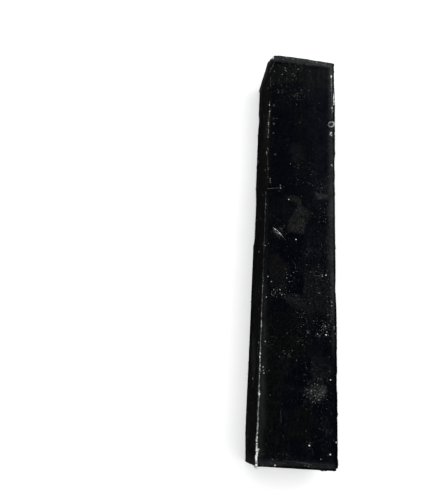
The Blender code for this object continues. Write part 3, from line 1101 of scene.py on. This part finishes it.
def add_lumps(wood, rng):
    """The wax lumps beside the arrises."""
    beads = []
    for column, row, radius, white in LUMPS:
        found = wood.under_pixel(column, row)
        if found:
            spread = (rng.uniform(0.85, 1.1), rng.uniform(0.9, 1.3), rng.uniform(0.5, 0.7))
            beads.append(Bead(*found, Vector(spread) * radius * MM, white))
    add_wax("wax_lumps", beads, 0.16 * MM, 1)


def block_edges():
    """Every edge of the block but the photographed left ridge's: name, two ends and outward direction."""
    for arris, (side, upper) in ARRISES.items():
        level, rise = (HEIGHT, 1) if upper else (0.0, -1)
        ends = [Vector((side * HALF_WIDTH, far * HALF_LENGTH, level)) for far in (-1, 1)]
        if arris != "upper_left":
            yield arris, *ends, Vector((side, 0, rise))
    for far in (-1, 1):
        y = far * HALF_LENGTH
        for side in (-1, 1):
            ends = [Vector((side * HALF_WIDTH, y, level)) for level in (0.0, HEIGHT)]
            yield f"upright_{far}_{side}", *ends, Vector((side, far, 0))
        for rise, level in ((-1, 0.0), (1, HEIGHT)):
            ends = [Vector((side * HALF_WIDTH, y, level)) for side in (-1, 1)]
            yield f"crossing_{far}_{rise}", *ends, Vector((0, far, rise))


# How much of each edge carries broken wax, and how white that is. Then how far from the edge's ends it
# stays, how long its lengths are and how far apart their beads.
EDGE_WAX = {
    "lower_right": (0.30, 0.30),
    "upper_right": (0.10, 0.06),
    "lower_left": (0.35, 0.35),
    "crossing_1_1": (0.35, 0.10),
    "crossing_-1_1": (0.10, 0.05),
}
USUAL_EDGE_WAX = (0.5, 0.45)
EDGE_MARGIN = 1.5 * MM
EDGE_LENGTHS = (0.8, 5.0)
EDGE_BEAD_PITCH = 0.55 * MM


def add_edge_wax(wood):
    """Broken lengths of wax along the block's other edges."""
    rng = random.Random(15)
    beads = []
    for name, start, end, outward in block_edges():
        covered, white = EDGE_WAX.get(name, USUAL_EDGE_WAX)
        run = end - start
        heading = run.normalized()
        along = EDGE_MARGIN
        while along < run.length - EDGE_MARGIN:
            length = rng.uniform(*EDGE_LENGTHS) * MM
            if rng.random() < covered:
                thick = rng.uniform(0.22, 0.50)
                tone = white * rng.uniform(0.2, 1.6)
                for i in range(max(2, int(length / EDGE_BEAD_PITCH))):
                    spot = start + heading * (along + i * EDGE_BEAD_PITCH)
                    found = wood.at_edge(spot, outward)
                    if found:
                        place, normal = found
                        place = place + Vector([rng.gauss(0, 0.08) * MM for _ in range(3)])
                        radii = Vector((thick, 0.6, thick * 0.9)) * rng.uniform(0.75, 1.25) * MM
                        beads.append(Bead(place, normal, radii, min(tone, 1.0), heading))
            along += length
    add_wax("edge_wax", beads)


# Node helpers


class Graph:
    """Adds and joins the nodes of one tree."""

    def __init__(self, tree):
        self.tree = tree

    def put(self, socket, value):
        """Link a socket to another, or set its value."""
        if isinstance(value, bpy.types.NodeSocket):
            self.tree.links.new(value, socket)
        else:
            socket.default_value = value

    def add(self, kind, inputs=None, **settings):
        """Add a node, set it up, and fill its named inputs."""
        node = self.tree.nodes.new(kind)
        for name, value in settings.items():
            setattr(node, name, value)
        for name, value in (inputs or {}).items():
            self.put(node.inputs[name], value)
        return node

    def attribute(self, name):
        """A value that the mesh keeps for each of its points."""
        return self.add("ShaderNodeAttribute", attribute_name=name).outputs["Fac"]

    def place(self):
        """The place on the object, in metres."""
        return self.add("ShaderNodeTexCoord").outputs["Object"]

    def math(self, operation, a, b=0.0, c=0.0, clamp=False):
        """One sum on numbers."""
        node = self.add("ShaderNodeMath", operation=operation, use_clamp=clamp)
        for socket, value in zip(node.inputs, (a, b, c)):
            self.put(socket, value)
        return node.outputs[0]

    def times(self, a, b, clamp=False):
        """The product of two numbers."""
        return self.math("MULTIPLY", a, b, clamp=clamp)

    def vector(self, operation, a, b=(0.0, 0.0, 0.0)):
        """One sum on vectors."""
        node = self.add("ShaderNodeVectorMath", operation=operation)
        self.put(node.inputs[0], a)
        self.put(node.inputs[1], b)
        return node.outputs["Value" if operation in {"LENGTH", "DOT_PRODUCT"} else "Vector"]

    def blend(self, factor, a, b):
        """Mix two colours."""
        node = self.add("ShaderNodeMix", data_type="RGBA")
        for index, value in ((0, factor), (6, a), (7, b)):
            self.put(node.inputs[index], value)
        return node.outputs[2]

    def ramp(self, value, low, high, out_low=0.0, out_high=1.0):
        """Take low to out_low and high to out_high along a smooth step."""
        node = self.add("ShaderNodeMapRange", interpolation_type="SMOOTHSTEP")
        for index, number in enumerate((value, low, high, out_low, out_high)):
            self.put(node.inputs[index], number)
        return node.outputs[0]

    def noise(self, vector, scale, detail=3.0, roughness=0.55):
        """Noise from 0 to 1 with scale lumps in a metre."""
        given = {"Vector": vector, "Scale": scale, "Detail": detail, "Roughness": roughness}
        return self.add("ShaderNodeTexNoise", given).outputs["Fac"]


def rgba(colour, gain=1.0):
    """A colour for a socket, brightened by a gain."""
    return (*(Vector(colour) * gain), 1.0)


def scaled(graph, vector, factor):
    """A vector times a number."""
    node = graph.add("ShaderNodeVectorMath", operation="SCALE")
    graph.put(node.inputs[0], vector)
    graph.put(node.inputs["Scale"], factor)
    return node.outputs[0]


def scaled_noise(graph, vector, scale, span):
    """Noise about 0 whose whole span is the one given."""
    return graph.ramp(graph.noise(vector, scale, 3.0, 0.6), 0.0, 1.0, -span / 2, span / 2)


def new_group(name, inputs, outputs):
    """A shader node group with its sockets, each a title and a kind, as a graph with its two ends."""
    tree = bpy.data.node_groups.new(name, "ShaderNodeTree")
    for side, sockets in (("INPUT", inputs), ("OUTPUT", outputs)):
        for title, kind in sockets.items():
            tree.interface.new_socket(name=title, in_out=side, socket_type="NodeSocket" + kind)
    graph = Graph(tree)
    return graph, graph.add("NodeGroupInput").outputs, graph.add("NodeGroupOutput").inputs


def film_edge_group():
    """One straight, soft edge of a cloud in the film: 1 on its inward side and 0 beyond it."""
    graph, given, out = new_group(
        "film_edge",
        {"Vector": "Vector", "Through": "Vector", "Inward": "Vector", "Softness": "Float"},
        {"Mask": "Float"},
    )
    from_edge = graph.vector("SUBTRACT", given["Vector"], given["Through"])
    inside = graph.vector("DOT_PRODUCT", from_edge, given["Inward"])
    beyond = graph.times(given["Softness"], -1.0)
    graph.put(out["Mask"], graph.ramp(inside, beyond, given["Softness"]))
    return graph.tree


def wax_tone_group():
    """Set wax from clear to white, mottled at two scales, with its gloss and its relief."""
    tone = colours()
    graph, given, out = new_group(
        "wax_tone",
        {"Vector": "Vector", "Whiteness": "Float"},
        {"Color": "Color", "Roughness": "Float", "Height": "Float"},
    )
    lumps = graph.noise(given["Vector"], 620.0, 3.0, 0.6)
    grains = graph.noise(given["Vector"], 2600.0, 2.0, 0.5)
    broad = graph.ramp(lumps, 0.3, 0.7, 0.45, 1.05)
    mottle = graph.math("ADD", broad, graph.ramp(grains, 0.3, 0.7, 0.0, 0.35))
    white = graph.times(given["Whiteness"], mottle, clamp=True)
    graph.put(out["Color"], graph.blend(white, rgba(tone.thin_wax), rgba(tone.wax)))
    graph.put(out["Roughness"], graph.ramp(lumps, 0.3, 0.7, 0.28, 0.5))
    graph.put(out["Height"], graph.math("MULTIPLY_ADD", grains, 0.3, lumps))
    return graph.tree


def dust_group():
    """Tiny round specks: each cell of the surface holds one or none."""
    graph, given, out = new_group(
        "fine_dust",
        {"Vector": "Vector", "Cells Per Metre": "Float", "Radius": "Float", "Share": "Float"},
        {"Mask": "Float"},
    )
    scale = given["Cells Per Metre"]
    cells = graph.add("ShaderNodeTexVoronoi", {"Vector": given["Vector"], "Scale": scale}).outputs
    pick = graph.add("ShaderNodeSeparateColor", {"Color": cells["Color"]}).outputs
    held = graph.math("LESS_THAN", pick["Red"], given["Share"])
    radius = graph.times(given["Radius"], graph.math("ADD", 0.5, pick["Green"]))
    round_speck = graph.ramp(cells["Distance"], graph.times(radius, 0.5), radius, 1.0, 0.0)
    graph.put(out["Mask"], graph.times(held, round_speck))
    return graph.tree


def use(graph, tree, inputs):
    """Place a node group, fill its named inputs and give its outputs."""
    return graph.add("ShaderNodeGroup", inputs, node_tree=tree).outputs


def shared_group(name, make):
    """The named node group, made the first time that it is asked for."""
    return bpy.data.node_groups.get(name) or make()


def shared_material(name, make):
    """The named material, made the first time that it is asked for."""
    return bpy.data.materials.get(name) or make()


def new_material(name, **values):
    """A Principled material with its plain values set, as a graph and its shader."""
    material = bpy.data.materials.new(name)
    material.use_nodes = True
    shader = material.node_tree.nodes["Principled BSDF"]
    for title, value in values.items():
        shader.inputs[title.replace("_", " ")].default_value = value
    return material, Graph(material.node_tree), shader


# Clouds in the wax film on the upper face: tone, strength, how soft the edge is in millimetres, and corners
# in order as columns and rows of the photograph. A cloud is what lies inward of the straight lines through
# all its neighbouring corners. Later ones lie over earlier.
CLOUDS = (
    ("grey", 0.9, 4.0, ((303, 66), (331, 68), (331, 96), (304, 97))),
    ("olive", 0.8, 2.0, ((271, 63), (305, 64), (303, 80), (292, 83), (271, 82))),
    ("violet", 0.8, 6.0, ((308, 90), (333, 90), (333, 200), (314, 200))),
    ("clear", 0.8, 4.0, ((272, 108), (292, 112), (300, 150), (296, 196), (270, 196))),
    ("grey", 0.6, 2.5, ((292, 142), (303, 146), (304, 160), (292, 162))),
    ("pale", 0.5, 1.2, ((289, 91), (297, 91), (300, 95), (299, 101), (297, 100), (295, 95))),
    ("grey", 0.75, 2.5, ((326, 211), (334, 203), (334, 300), (321, 300), (319, 262), (326, 228))),
    ("violet", 0.7, 3.0, ((300, 198), (330, 198), (329, 208), (318, 213), (309, 212))),
    ("violet", 0.6, 3.0, ((302, 224), (326, 226), (326, 258), (304, 262))),
    ("smear", 0.55, 1.2, ((314.8, 190.8), (319, 191.8), (328.5, 195), (328.5, 198.4), (316.6, 198.4))),
    ("violet", 1.0, 1.8, ((314, 184), (328, 185), (328, 195), (316, 193))),
    ("pale", 0.9, 0.9, ((288, 197.8), (293.5, 195.8), (301, 200.4), (299, 204.2), (290, 201))),
    ("pale", 0.95, 1.0, ((295.5, 199.5), (300.8, 200.2), (304.5, 208), (296.5, 210))),
    ("pale", 0.78, 1.2,
     ((298, 205.5), (303, 206), (311, 213.5), (309, 220), (302, 232), (288, 231.5), (288.5, 225))),
    ("clear", 0.9, 1.6,
     ((286, 232.5), (300, 232), (305, 245), (303, 256), (293, 268), (287, 262), (280, 255), (284, 240))),
    ("clear", 0.9, 1.4, ((273, 240), (283, 239), (290, 250), (292, 263), (282, 257), (275, 251))),
    ("grey", 0.65, 4.0, ((301, 272), (320, 266), (333, 280), (333, 318), (306, 316))),
    ("brown", 0.7, 1.1, ((270.5, 255), (275, 252), (281, 257), (287.8, 266), (286, 273), (270, 276))),
    ("brown", 0.55, 1.6, ((270, 274), (286.5, 272), (286, 294), (291, 298), (276, 299), (270, 292))),
    ("grey", 0.9, 1.6, ((283, 295), (301, 295), (306, 306), (300, 309), (285, 302))),
    ("clear", 1.0, 1.2,
     ((288.5, 268), (295, 266), (301, 275), (305, 285), (304, 294), (296, 295.5), (288, 291), (289, 280))),
    ("clear", 1.0, 1.2, ((271.5, 299.5), (282, 297.5), (288.5, 304), (285, 311), (272, 312.5))),
    ("clear", 0.7, 1.5, ((314, 312), (323, 314), (326, 330), (316, 332))),
    ("umber", 0.85, 2.4, ((256, 312), (302, 314), (306, 352), (286, 374), (256, 384))),
    ("grey", 0.45, 2.5, ((310, 354), (328, 357), (331, 383), (312, 384))),
    ("clear", 1.0, 1.6, ((321, 339), (327, 343), (330, 356), (323, 356))),
    ("clear", 1.0, 0.9,
     ((282.5, 374), (292, 369), (305, 355), (311, 352), (311.5, 375), (308, 385), (296, 388), (284, 384.5))),
    ("umber", 0.85, 2.0, ((254, 374), (282, 374), (282, 402), (277, 453), (254, 453))),
    ("clear", 1.0, 1.0,
     ((281, 401), (290, 392), (304, 394), (312, 402), (302, 405), (293, 418), (286, 421), (282, 414))),
    ("umber", 0.85, 0.8, ((303, 403.5), (317, 425), (314, 445), (286, 445), (280, 432))),
    ("clear", 0.9, 1.2, ((312.5, 402), (322, 400), (328, 405), (326, 416), (319.5, 424), (313, 416))),
    ("clear", 0.9, 2.0, ((289, 439), (304, 438), (306, 455), (290, 456))),
    ("clear", 0.9, 2.5, ((312, 425), (321, 428), (322, 461), (311, 462))),
    ("clear", 0.9, 2.0, ((328, 352), (338, 350), (338, 466), (322, 462), (324, 404), (329, 396))),
    ("pale", 0.9, 2.0, ((307, 388), (315, 383), (326, 385), (328, 394), (319, 402), (309, 396))),
    ("smear", 0.6, 1.4, ((320.5, 389), (326, 387), (328, 392), (323, 396), (320, 393))),
    ("smear", 0.4, 1.2, ((309.5, 389), (315, 388), (317, 394), (311, 394))),
)


def inward_edges(corners):
    """Each straight edge of a cloud on the upper face: a point on it and its inward direction."""
    spots = [on_face(*corner) for corner in corners]
    middle = sum(spots, Vector()) / len(spots)
    for i, spot in enumerate(spots):
        run = spots[(i + 1) % len(spots)] - spot
        inward = Vector((-run.y, run.x, 0.0)).normalized()
        if inward.dot(middle - spot) < 0:
            inward = -inward
        yield (spot.x, spot.y, 0.0), tuple(inward)


def clouded_film(graph, place, colour, only):
    """The film's colour with every cloud laid over it, where only says."""
    edge = shared_group("film_edge", film_edge_group)
    for tone, strength, softness, corners in CLOUDS:
        mask = graph.times(only, strength)
        for through, inward in inward_edges(corners):
            given = {"Vector": place, "Through": through, "Inward": inward, "Softness": softness * MM}
            mask = graph.times(mask, use(graph, edge, given)["Mask"])
        colour = graph.blend(mask, colour, rgba(getattr(colours(), tone)))
    return colour


# How short the grain's pattern is made along the blank before it is drawn, and how far the film's edges
# wander
GRAIN_SQUEEZE = 0.045
FILM_WANDER = 7.0 * MM

# How far from the ends' lower edges the sides are worn speckled all over, and at all. The height above the
# underside counts this many times over.
WORN_FROM = 35 * MM
WORN_TO = 75 * MM
WORN_RISE = 3.2

# The middle of the end grain's rings
PITH = (4 * MM, 0.0, -30 * MM)


def grained_wood(graph, tone, place, on_side, broken, along_grain):
    """Dark wood with brown figure on its sides, worn speckled near the ends' lower edges."""
    streaks = graph.noise(along_grain, 120.0, 4.0, 0.55)
    figured = graph.ramp(streaks, 0.47, 0.66, 0.0, 0.75)
    patches = graph.ramp(graph.noise(place, 26.0, 3.0, 0.6), 0.46, 0.62, 0.25, 1.0)
    figured = graph.times(figured, patches)
    figured = graph.times(figured, graph.math("MULTIPLY_ADD", on_side, 0.95, 0.05))
    wood = graph.blend(figured, rgba(tone.plain), rgba(tone.figure))
    corner = graph.vector("MULTIPLY", place, (0.0, 1.0, WORN_RISE))
    corner = graph.vector("ABSOLUTE", corner)
    corner = graph.vector("SUBTRACT", corner, (0.0, HALF_LENGTH, 0.0))
    from_corner = graph.math("ADD", graph.vector("LENGTH", corner), scaled_noise(graph, place, 60.0, 0.06))
    worn = graph.ramp(from_corner, WORN_FROM, WORN_TO, 1.0, 0.0)
    blotches = graph.ramp(graph.noise(place, 22.0, 3.0, 0.6), 0.53, 0.66, 0.0, 0.7)
    worn = graph.math("MAXIMUM", worn, blotches)
    speckled = graph.times(worn, graph.ramp(graph.noise(place, 480.0, 2.0, 0.7), 0.44, 0.62))
    speckled = graph.times(speckled, on_side)
    wood = graph.blend(speckled, wood, rgba(tone.figure, 3.2))
    return graph.blend(broken, wood, rgba(tone.figure, 0.5))


def end_coat(graph, tone, place, warped):
    """The thicker, mottled coat over the rings of the end grain."""
    rings = graph.add(
        "ShaderNodeTexWave",
        {"Vector": graph.vector("SUBTRACT", place, PITH), "Scale": 150.0,
         "Distortion": 2.5, "Detail": 3.0, "Detail Scale": 1.5},
        wave_type="RINGS",
        rings_direction="Y",
    ).outputs["Fac"]
    coat = graph.ramp(graph.noise(warped, 80.0, 4.0, 0.6), 0.38, 0.66, 0.10, 0.9)
    coat = graph.times(coat, graph.ramp(rings, 0.1, 0.9, 0.7, 1.2))
    coat = graph.times(coat, graph.ramp(graph.noise(place, 300.0, 3.0, 0.65), 0.36, 0.46, 0.3, 1.0))
    return graph.blend(coat, rgba(tone.grey), rgba(tone.band, 1.25))


def dust(graph, place, cells_per_metre, radius, share):
    """A mask of fine dust over a share of the surface's cells."""
    given = {"Vector": place, "Cells Per Metre": cells_per_metre, "Radius": radius, "Share": share}
    return use(graph, shared_group("fine_dust", dust_group), given)["Mask"]


def wood_relief(graph, place, fine_grain, thick, specks, broken):
    """The normal of wax ripples, saw marks across the grain, pores, torn fibres and dust."""
    across_saw = graph.vector("MULTIPLY", place, (0.10, 1.0, 0.10))
    saw = graph.noise(across_saw, 520.0, 2.0, 0.5)
    height = graph.times(graph.noise(place, 240.0, 4.0, 0.6), 0.10)
    for part, share in ((saw, 0.05), (fine_grain, 0.04), (thick, 0.15), (specks, 0.08)):
        height = graph.math("MULTIPLY_ADD", part, share, height)
    fibres = graph.times(graph.times(fine_grain, broken), 0.5)
    height = graph.math("ADD", height, fibres)
    bump = graph.add("ShaderNodeBump", {"Height": height, "Distance": 1.0 * MM, "Strength": 0.8})
    return bump.outputs[0]


def ebony_material():
    """Near-black wood under a thin wax film that clouds in patches and thickens along the arrises, with
    painted sheen on the rounded arrises and painted shade along their edges.
    """
    tone = colours()
    material, graph, shader = new_material("waxed_ebony", Metallic=0.0, IOR=1.45)
    place = graph.place()
    spot = graph.add("ShaderNodeSeparateXYZ", {"Vector": place}).outputs
    # The pale band along the arrises and ends is partly painted sheen; the rubbed mask is partly painted
    # shade
    band = graph.attribute("wax_and_sheen_band")
    broken = graph.attribute("broken")
    rubbed_and_shaded = graph.attribute("rubbed_and_shaded")
    spatter = graph.attribute("spatter")
    on_top = graph.ramp(spot["Z"], HEIGHT - 1.6 * MM, HEIGHT - 0.6 * MM)
    on_side = graph.math("SUBTRACT", 1.0, on_top)
    on_end = graph.ramp(graph.math("ABSOLUTE", spot["Y"]), HALF_LENGTH - 0.9 * MM, HALF_LENGTH - 0.4 * MM)

    # The film's edges wander, broadly and finely
    wander = graph.add("ShaderNodeTexNoise", {"Vector": place, "Scale": 110.0, "Detail": 5.0})
    shift = graph.vector("SUBTRACT", wander.outputs["Color"], (0.5, 0.5, 0.5))
    warped = graph.vector("ADD", place, scaled(graph, shift, FILM_WANDER))
    flat = graph.vector("MULTIPLY", warped, (1.0, 1.0, 0.0))

    # Grain that runs along the blank
    along_grain = graph.vector("MULTIPLY", place, (1.0, GRAIN_SQUEEZE, 1.0))
    fine_grain = graph.noise(along_grain, 900.0, 4.0, 0.6)
    wood = grained_wood(graph, tone, place, on_side, broken, along_grain)

    # The film: soft haze everywhere, then the upper face's own clouds
    haze = graph.ramp(graph.noise(place, 45.0, 4.0, 0.6), 0.42, 0.72, 0.0, 0.75)
    haze = graph.times(haze, graph.math("MULTIPLY_ADD", on_side, 0.6, 0.25))
    film = graph.blend(haze, wood, rgba(tone.grey))
    dragged = graph.noise(graph.vector("MULTIPLY", warped, (1.0, 0.35, 0.8)), 62.0, 2.0, 0.5)
    dragged = graph.times(graph.ramp(dragged, 0.61, 0.69, 0.0, 0.5), on_side)
    film = graph.blend(dragged, film, rgba(tone.smear))
    film = clouded_film(graph, flat, film, on_top)

    # Its mottle is strongest where spatter lies thick
    uneven = graph.ramp(graph.noise(place, 880.0, 2.0, 0.65), 0.38, 0.65, -1.12, 1.56)
    unevenness = graph.math("MULTIPLY_ADD", spatter, 0.6, 0.45)
    mottle = graph.math("MULTIPLY_ADD", uneven, unevenness, 1.24)
    lengthwise = graph.ramp(fine_grain, 0.3, 0.72, 0.75, 1.3)
    film = scaled(graph, film, graph.times(mottle, lengthwise))
    film = graph.blend(on_end, film, end_coat(graph, tone, place, warped))

    # Thicker wax along the arrises and round the ends, partly painted sheen, ragged where it thins out
    ragged_edge = graph.ramp(graph.noise(place, 420.0, 4.0, 0.65), 0.25, 0.75, 0.55, 1.45)
    lengths = graph.ramp(graph.noise(place, 90.0, 3.0, 0.6), 0.3, 0.65, 0.7, 1.2)
    thick = graph.times(graph.times(band, ragged_edge), lengths, clamp=True)
    # Darker along the arrises and the near end's edge, where the film is rubbed and where painted shade
    # falls
    kept = graph.math("MULTIPLY_ADD", rubbed_and_shaded, -RUBBED_AND_SHADED_LOSS, 1.0)
    thick = graph.times(thick, kept)
    colour = graph.blend(thick, scaled(graph, film, kept), rgba(tone.band))

    # Fine spatter, dense in its patches, and dust over everything
    share = graph.math("MULTIPLY_ADD", spatter, 0.30, graph.ramp(haze, 0.0, 0.6, 0.04, 0.15))
    specks = dust(graph, place, 560.0, 0.15, share)
    share = graph.math("MULTIPLY_ADD", spatter, 0.60, graph.ramp(haze, 0.0, 0.3, 0.06, 0.16))
    small = dust(graph, place, 1250.0, 0.30, share)
    colour = graph.blend(graph.times(small, 0.5), colour, rgba(tone.band))
    colour = graph.blend(graph.times(specks, 0.7), colour, rgba(tone.band, 2.0))
    graph.put(shader.inputs["Base Color"], colour)

    rough = graph.ramp(graph.noise(place, 170.0, 3.0, 0.6), 0.3, 0.7, 0.30, 0.46)
    rough = graph.math("MULTIPLY_ADD", broken, 0.2, rough, clamp=True)
    graph.put(shader.inputs["Roughness"], rough)
    graph.put(shader.inputs["Normal"], wood_relief(graph, place, fine_grain, thick, specks, broken))
    return material


def wax_material():
    """Set wax, from clear to white by its own whiteness."""
    material, graph, shader = new_material("set_wax", Metallic=0.0, IOR=1.44)
    place = graph.place()
    white = graph.attribute("whiteness")
    tone = use(graph, shared_group("wax_tone", wax_tone_group), {"Vector": place, "Whiteness": white})
    graph.put(shader.inputs["Base Color"], tone["Color"])
    graph.put(shader.inputs["Roughness"], tone["Roughness"])
    bump = graph.add("ShaderNodeBump", {"Height": tone["Height"], "Distance": 0.06 * MM, "Strength": 0.5})
    graph.put(shader.inputs["Normal"], bump.outputs[0])
    return material


# Studio


def add_floor():
    """A broad pale floor just under the blank. The waxed wood reflects it only dimly."""
    deselect()
    bpy.ops.mesh.primitive_circle_add(vertices=96, radius=6.0, fill_type="NGON", location=(0, 0, -0.05 * MM))
    floor = bpy.context.object
    floor.name = "floor"
    settle(floor)
    material, graph, shader = new_material("pale_floor", Roughness=0.85, Specular_IOR_Level=0.0)
    shader.inputs["Emission Color"].default_value = (1.0, 1.0, 1.0, 1.0)
    place = graph.place()
    path = graph.add("ShaderNodeLightPath").outputs
    tone = colours().floor
    speckle = graph.ramp(graph.noise(place, 60.0, 3.0), 0.3, 0.7)
    colour = graph.blend(speckle, rgba(tone, 0.985), rgba(tone))
    colour = graph.blend(path["Is Glossy Ray"], colour, rgba(tone, 0.02))
    graph.put(shader.inputs["Base Color"], colour)
    far = graph.ramp(graph.vector("LENGTH", place), 0.4, 1.6, 0.25, 1.0)
    graph.put(shader.inputs["Emission Strength"], graph.times(path["Is Camera Ray"], far))
    floor.data.materials.append(material)
    floor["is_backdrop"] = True


def add_softbox(name, place, aim, size, power, glossy=True):
    """A square area light that faces its aim point."""
    deselect()
    bpy.ops.object.light_add(type="AREA", location=place)
    light = bpy.context.object
    light.name = name
    light.rotation_euler = (Vector(aim) - Vector(place)).to_track_quat("-Z", "Y").to_euler()
    light.data.shape = "RECTANGLE"
    light.data.size = size[0]
    light.data.size_y = size[1]
    light.data.energy = power
    light.visible_glossy = glossy
    light.visible_camera = False


def add_lights():
    """Overhead light for the floor, with low soft lights that shine along the rounded arrises."""
    middle = (0.0, 0.0, HEIGHT)
    add_softbox("overhead", (0.0, 0.0, 1.6), middle, (1.8, 1.8), 36.0, glossy=False)
    add_softbox("far_right", (0.9, 1.2, 0.7), middle, (1.0, 0.7), 0.6)
    add_softbox("near_left", (-1.2, -0.5, 0.6), middle, (0.8, 0.6), 2.0)


def add_world():
    """Pale surroundings for the eye, and dim bluish ones in what the wax reflects."""
    world = bpy.data.worlds.new("studio")
    world.use_nodes = True
    bpy.context.scene.world = world
    graph = Graph(world.node_tree)
    background = world.node_tree.nodes["Background"]
    path = graph.add("ShaderNodeLightPath").outputs
    colour = graph.blend(path["Is Camera Ray"], (0.015, 0.018, 0.025, 1.0), (1.0, 1.0, 1.0, 1.0))
    graph.put(background.inputs["Color"], colour)
    background.inputs["Strength"].default_value = 1.0


def add_camera():
    """The camera at the photograph's viewing angle."""
    deselect()
    bpy.ops.object.camera_add(location=CAMERA_PLACE, rotation=camera_turn().to_euler())
    camera = bpy.context.object
    camera.name = "camera"
    camera.data.sensor_width = SENSOR
    camera.data.sensor_fit = "AUTO"
    camera.data.lens = LENS
    camera.data.clip_start = 0.01
    bpy.context.scene.camera = camera


class EBONY_OT_wood(bpy.types.Operator):
    """Model the sawn, chipped and waxed billet"""

    bl_idname = "ebony.wood"
    bl_label = "Add Wood"

    def execute(self, context):
        dress(add_wood(), shared_material("waxed_ebony", ebony_material), (NODE,))
        return {"FINISHED"}


class EBONY_OT_ridge(bpy.types.Operator):
    """Lay the ridge of set wax down the upper left arris"""

    bl_idname = "ebony.ridge"
    bl_label = "Add Wax Ridge"

    def execute(self, context):
        add_ridge(surface())
        return {"FINISHED"}


class EBONY_OT_threads(bpy.types.Operator):
    """Lay the dashes, scratches and smears of wax on the upper face"""

    bl_idname = "ebony.threads"
    bl_label = "Add Wax Threads"

    def execute(self, context):
        add_threads(surface())
        return {"FINISHED"}


class EBONY_OT_drops(bpy.types.Operator):
    """Set the wax ring, the drop and the lumps near the arrises"""

    bl_idname = "ebony.drops"
    bl_label = "Add Wax Drops"

    def execute(self, context):
        wood = surface()
        rng = random.Random(14)
        add_ring(wood, rng)
        add_drop(wood)
        add_lumps(wood, rng)
        return {"FINISHED"}


class EBONY_OT_edge_wax(bpy.types.Operator):
    """Lay broken lengths of wax along the other edges"""

    bl_idname = "ebony.edge_wax"
    bl_label = "Add Edge Wax"

    def execute(self, context):
        add_edge_wax(surface())
        return {"FINISHED"}


class EBONY_OT_specks(bpy.types.Operator):
    """Spatter the faces with specks of wax"""

    bl_idname = "ebony.specks"
    bl_label = "Add Wax Specks"

    def execute(self, context):
        add_specks(surface())
        return {"FINISHED"}


class EBONY_OT_stage(bpy.types.Operator):
    """Add the floor, the lights, the surroundings and the camera"""

    bl_idname = "ebony.stage"
    bl_label = "Add Stage"

    def execute(self, context):
        add_floor()
        add_lights()
        add_world()
        add_camera()
        context.scene.view_settings.view_transform = "Standard"
        return {"FINISHED"}


OPERATORS = (
    EBONY_OT_wood,
    EBONY_OT_ridge,
    EBONY_OT_threads,
    EBONY_OT_drops,
    EBONY_OT_edge_wax,
    EBONY_OT_specks,
    EBONY_OT_stage,
)


class EBONY_PT_panel(bpy.types.Panel):
    """Lists the blank's sizes, colours and pieces"""

    bl_idname = "EBONY_PT_panel"
    bl_label = "Ebony Blank"
    bl_space_type = "VIEW_3D"
    bl_region_type = "UI"
    bl_category = "Ebony Blank"

    def draw(self, context):
        layout = self.layout
        for group in (context.scene.blank_sizes, context.scene.blank_colours):
            box = layout.box()
            for name in group.__annotations__:
                box.prop(group, name)
        for operator in OPERATORS:
            layout.operator(operator.bl_idname)


CLASSES = (BlankSizes, BlankColours, *OPERATORS, EBONY_PT_panel)


def register():
    """Add the classes and their settings."""
    for each in CLASSES:
        bpy.utils.register_class(each)
    bpy.types.Scene.blank_sizes = PointerProperty(type=BlankSizes)
    bpy.types.Scene.blank_colours = PointerProperty(type=BlankColours)


def unregister():
    """Take the classes and their settings away."""
    del bpy.types.Scene.blank_colours
    del bpy.types.Scene.blank_sizes
    for each in reversed(CLASSES):
        bpy.utils.unregister_class(each)


def write_sizes():
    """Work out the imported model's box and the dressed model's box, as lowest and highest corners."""
    boxes = {"cad": CAD_BOX, "visual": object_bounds()}
    plain = {name: [list(corner) for corner in box] for name, box in boxes.items()}


def main():
    """Make every piece and the stage."""
    register()
    bpy.ops.ebony.wood()
    bpy.ops.ebony.ridge()
    bpy.ops.ebony.threads()
    bpy.ops.ebony.drops()
    bpy.ops.ebony.edge_wax()
    bpy.ops.ebony.specks()
    bpy.ops.ebony.stage()
    write_sizes()


if __name__ == "__main__":
    main()
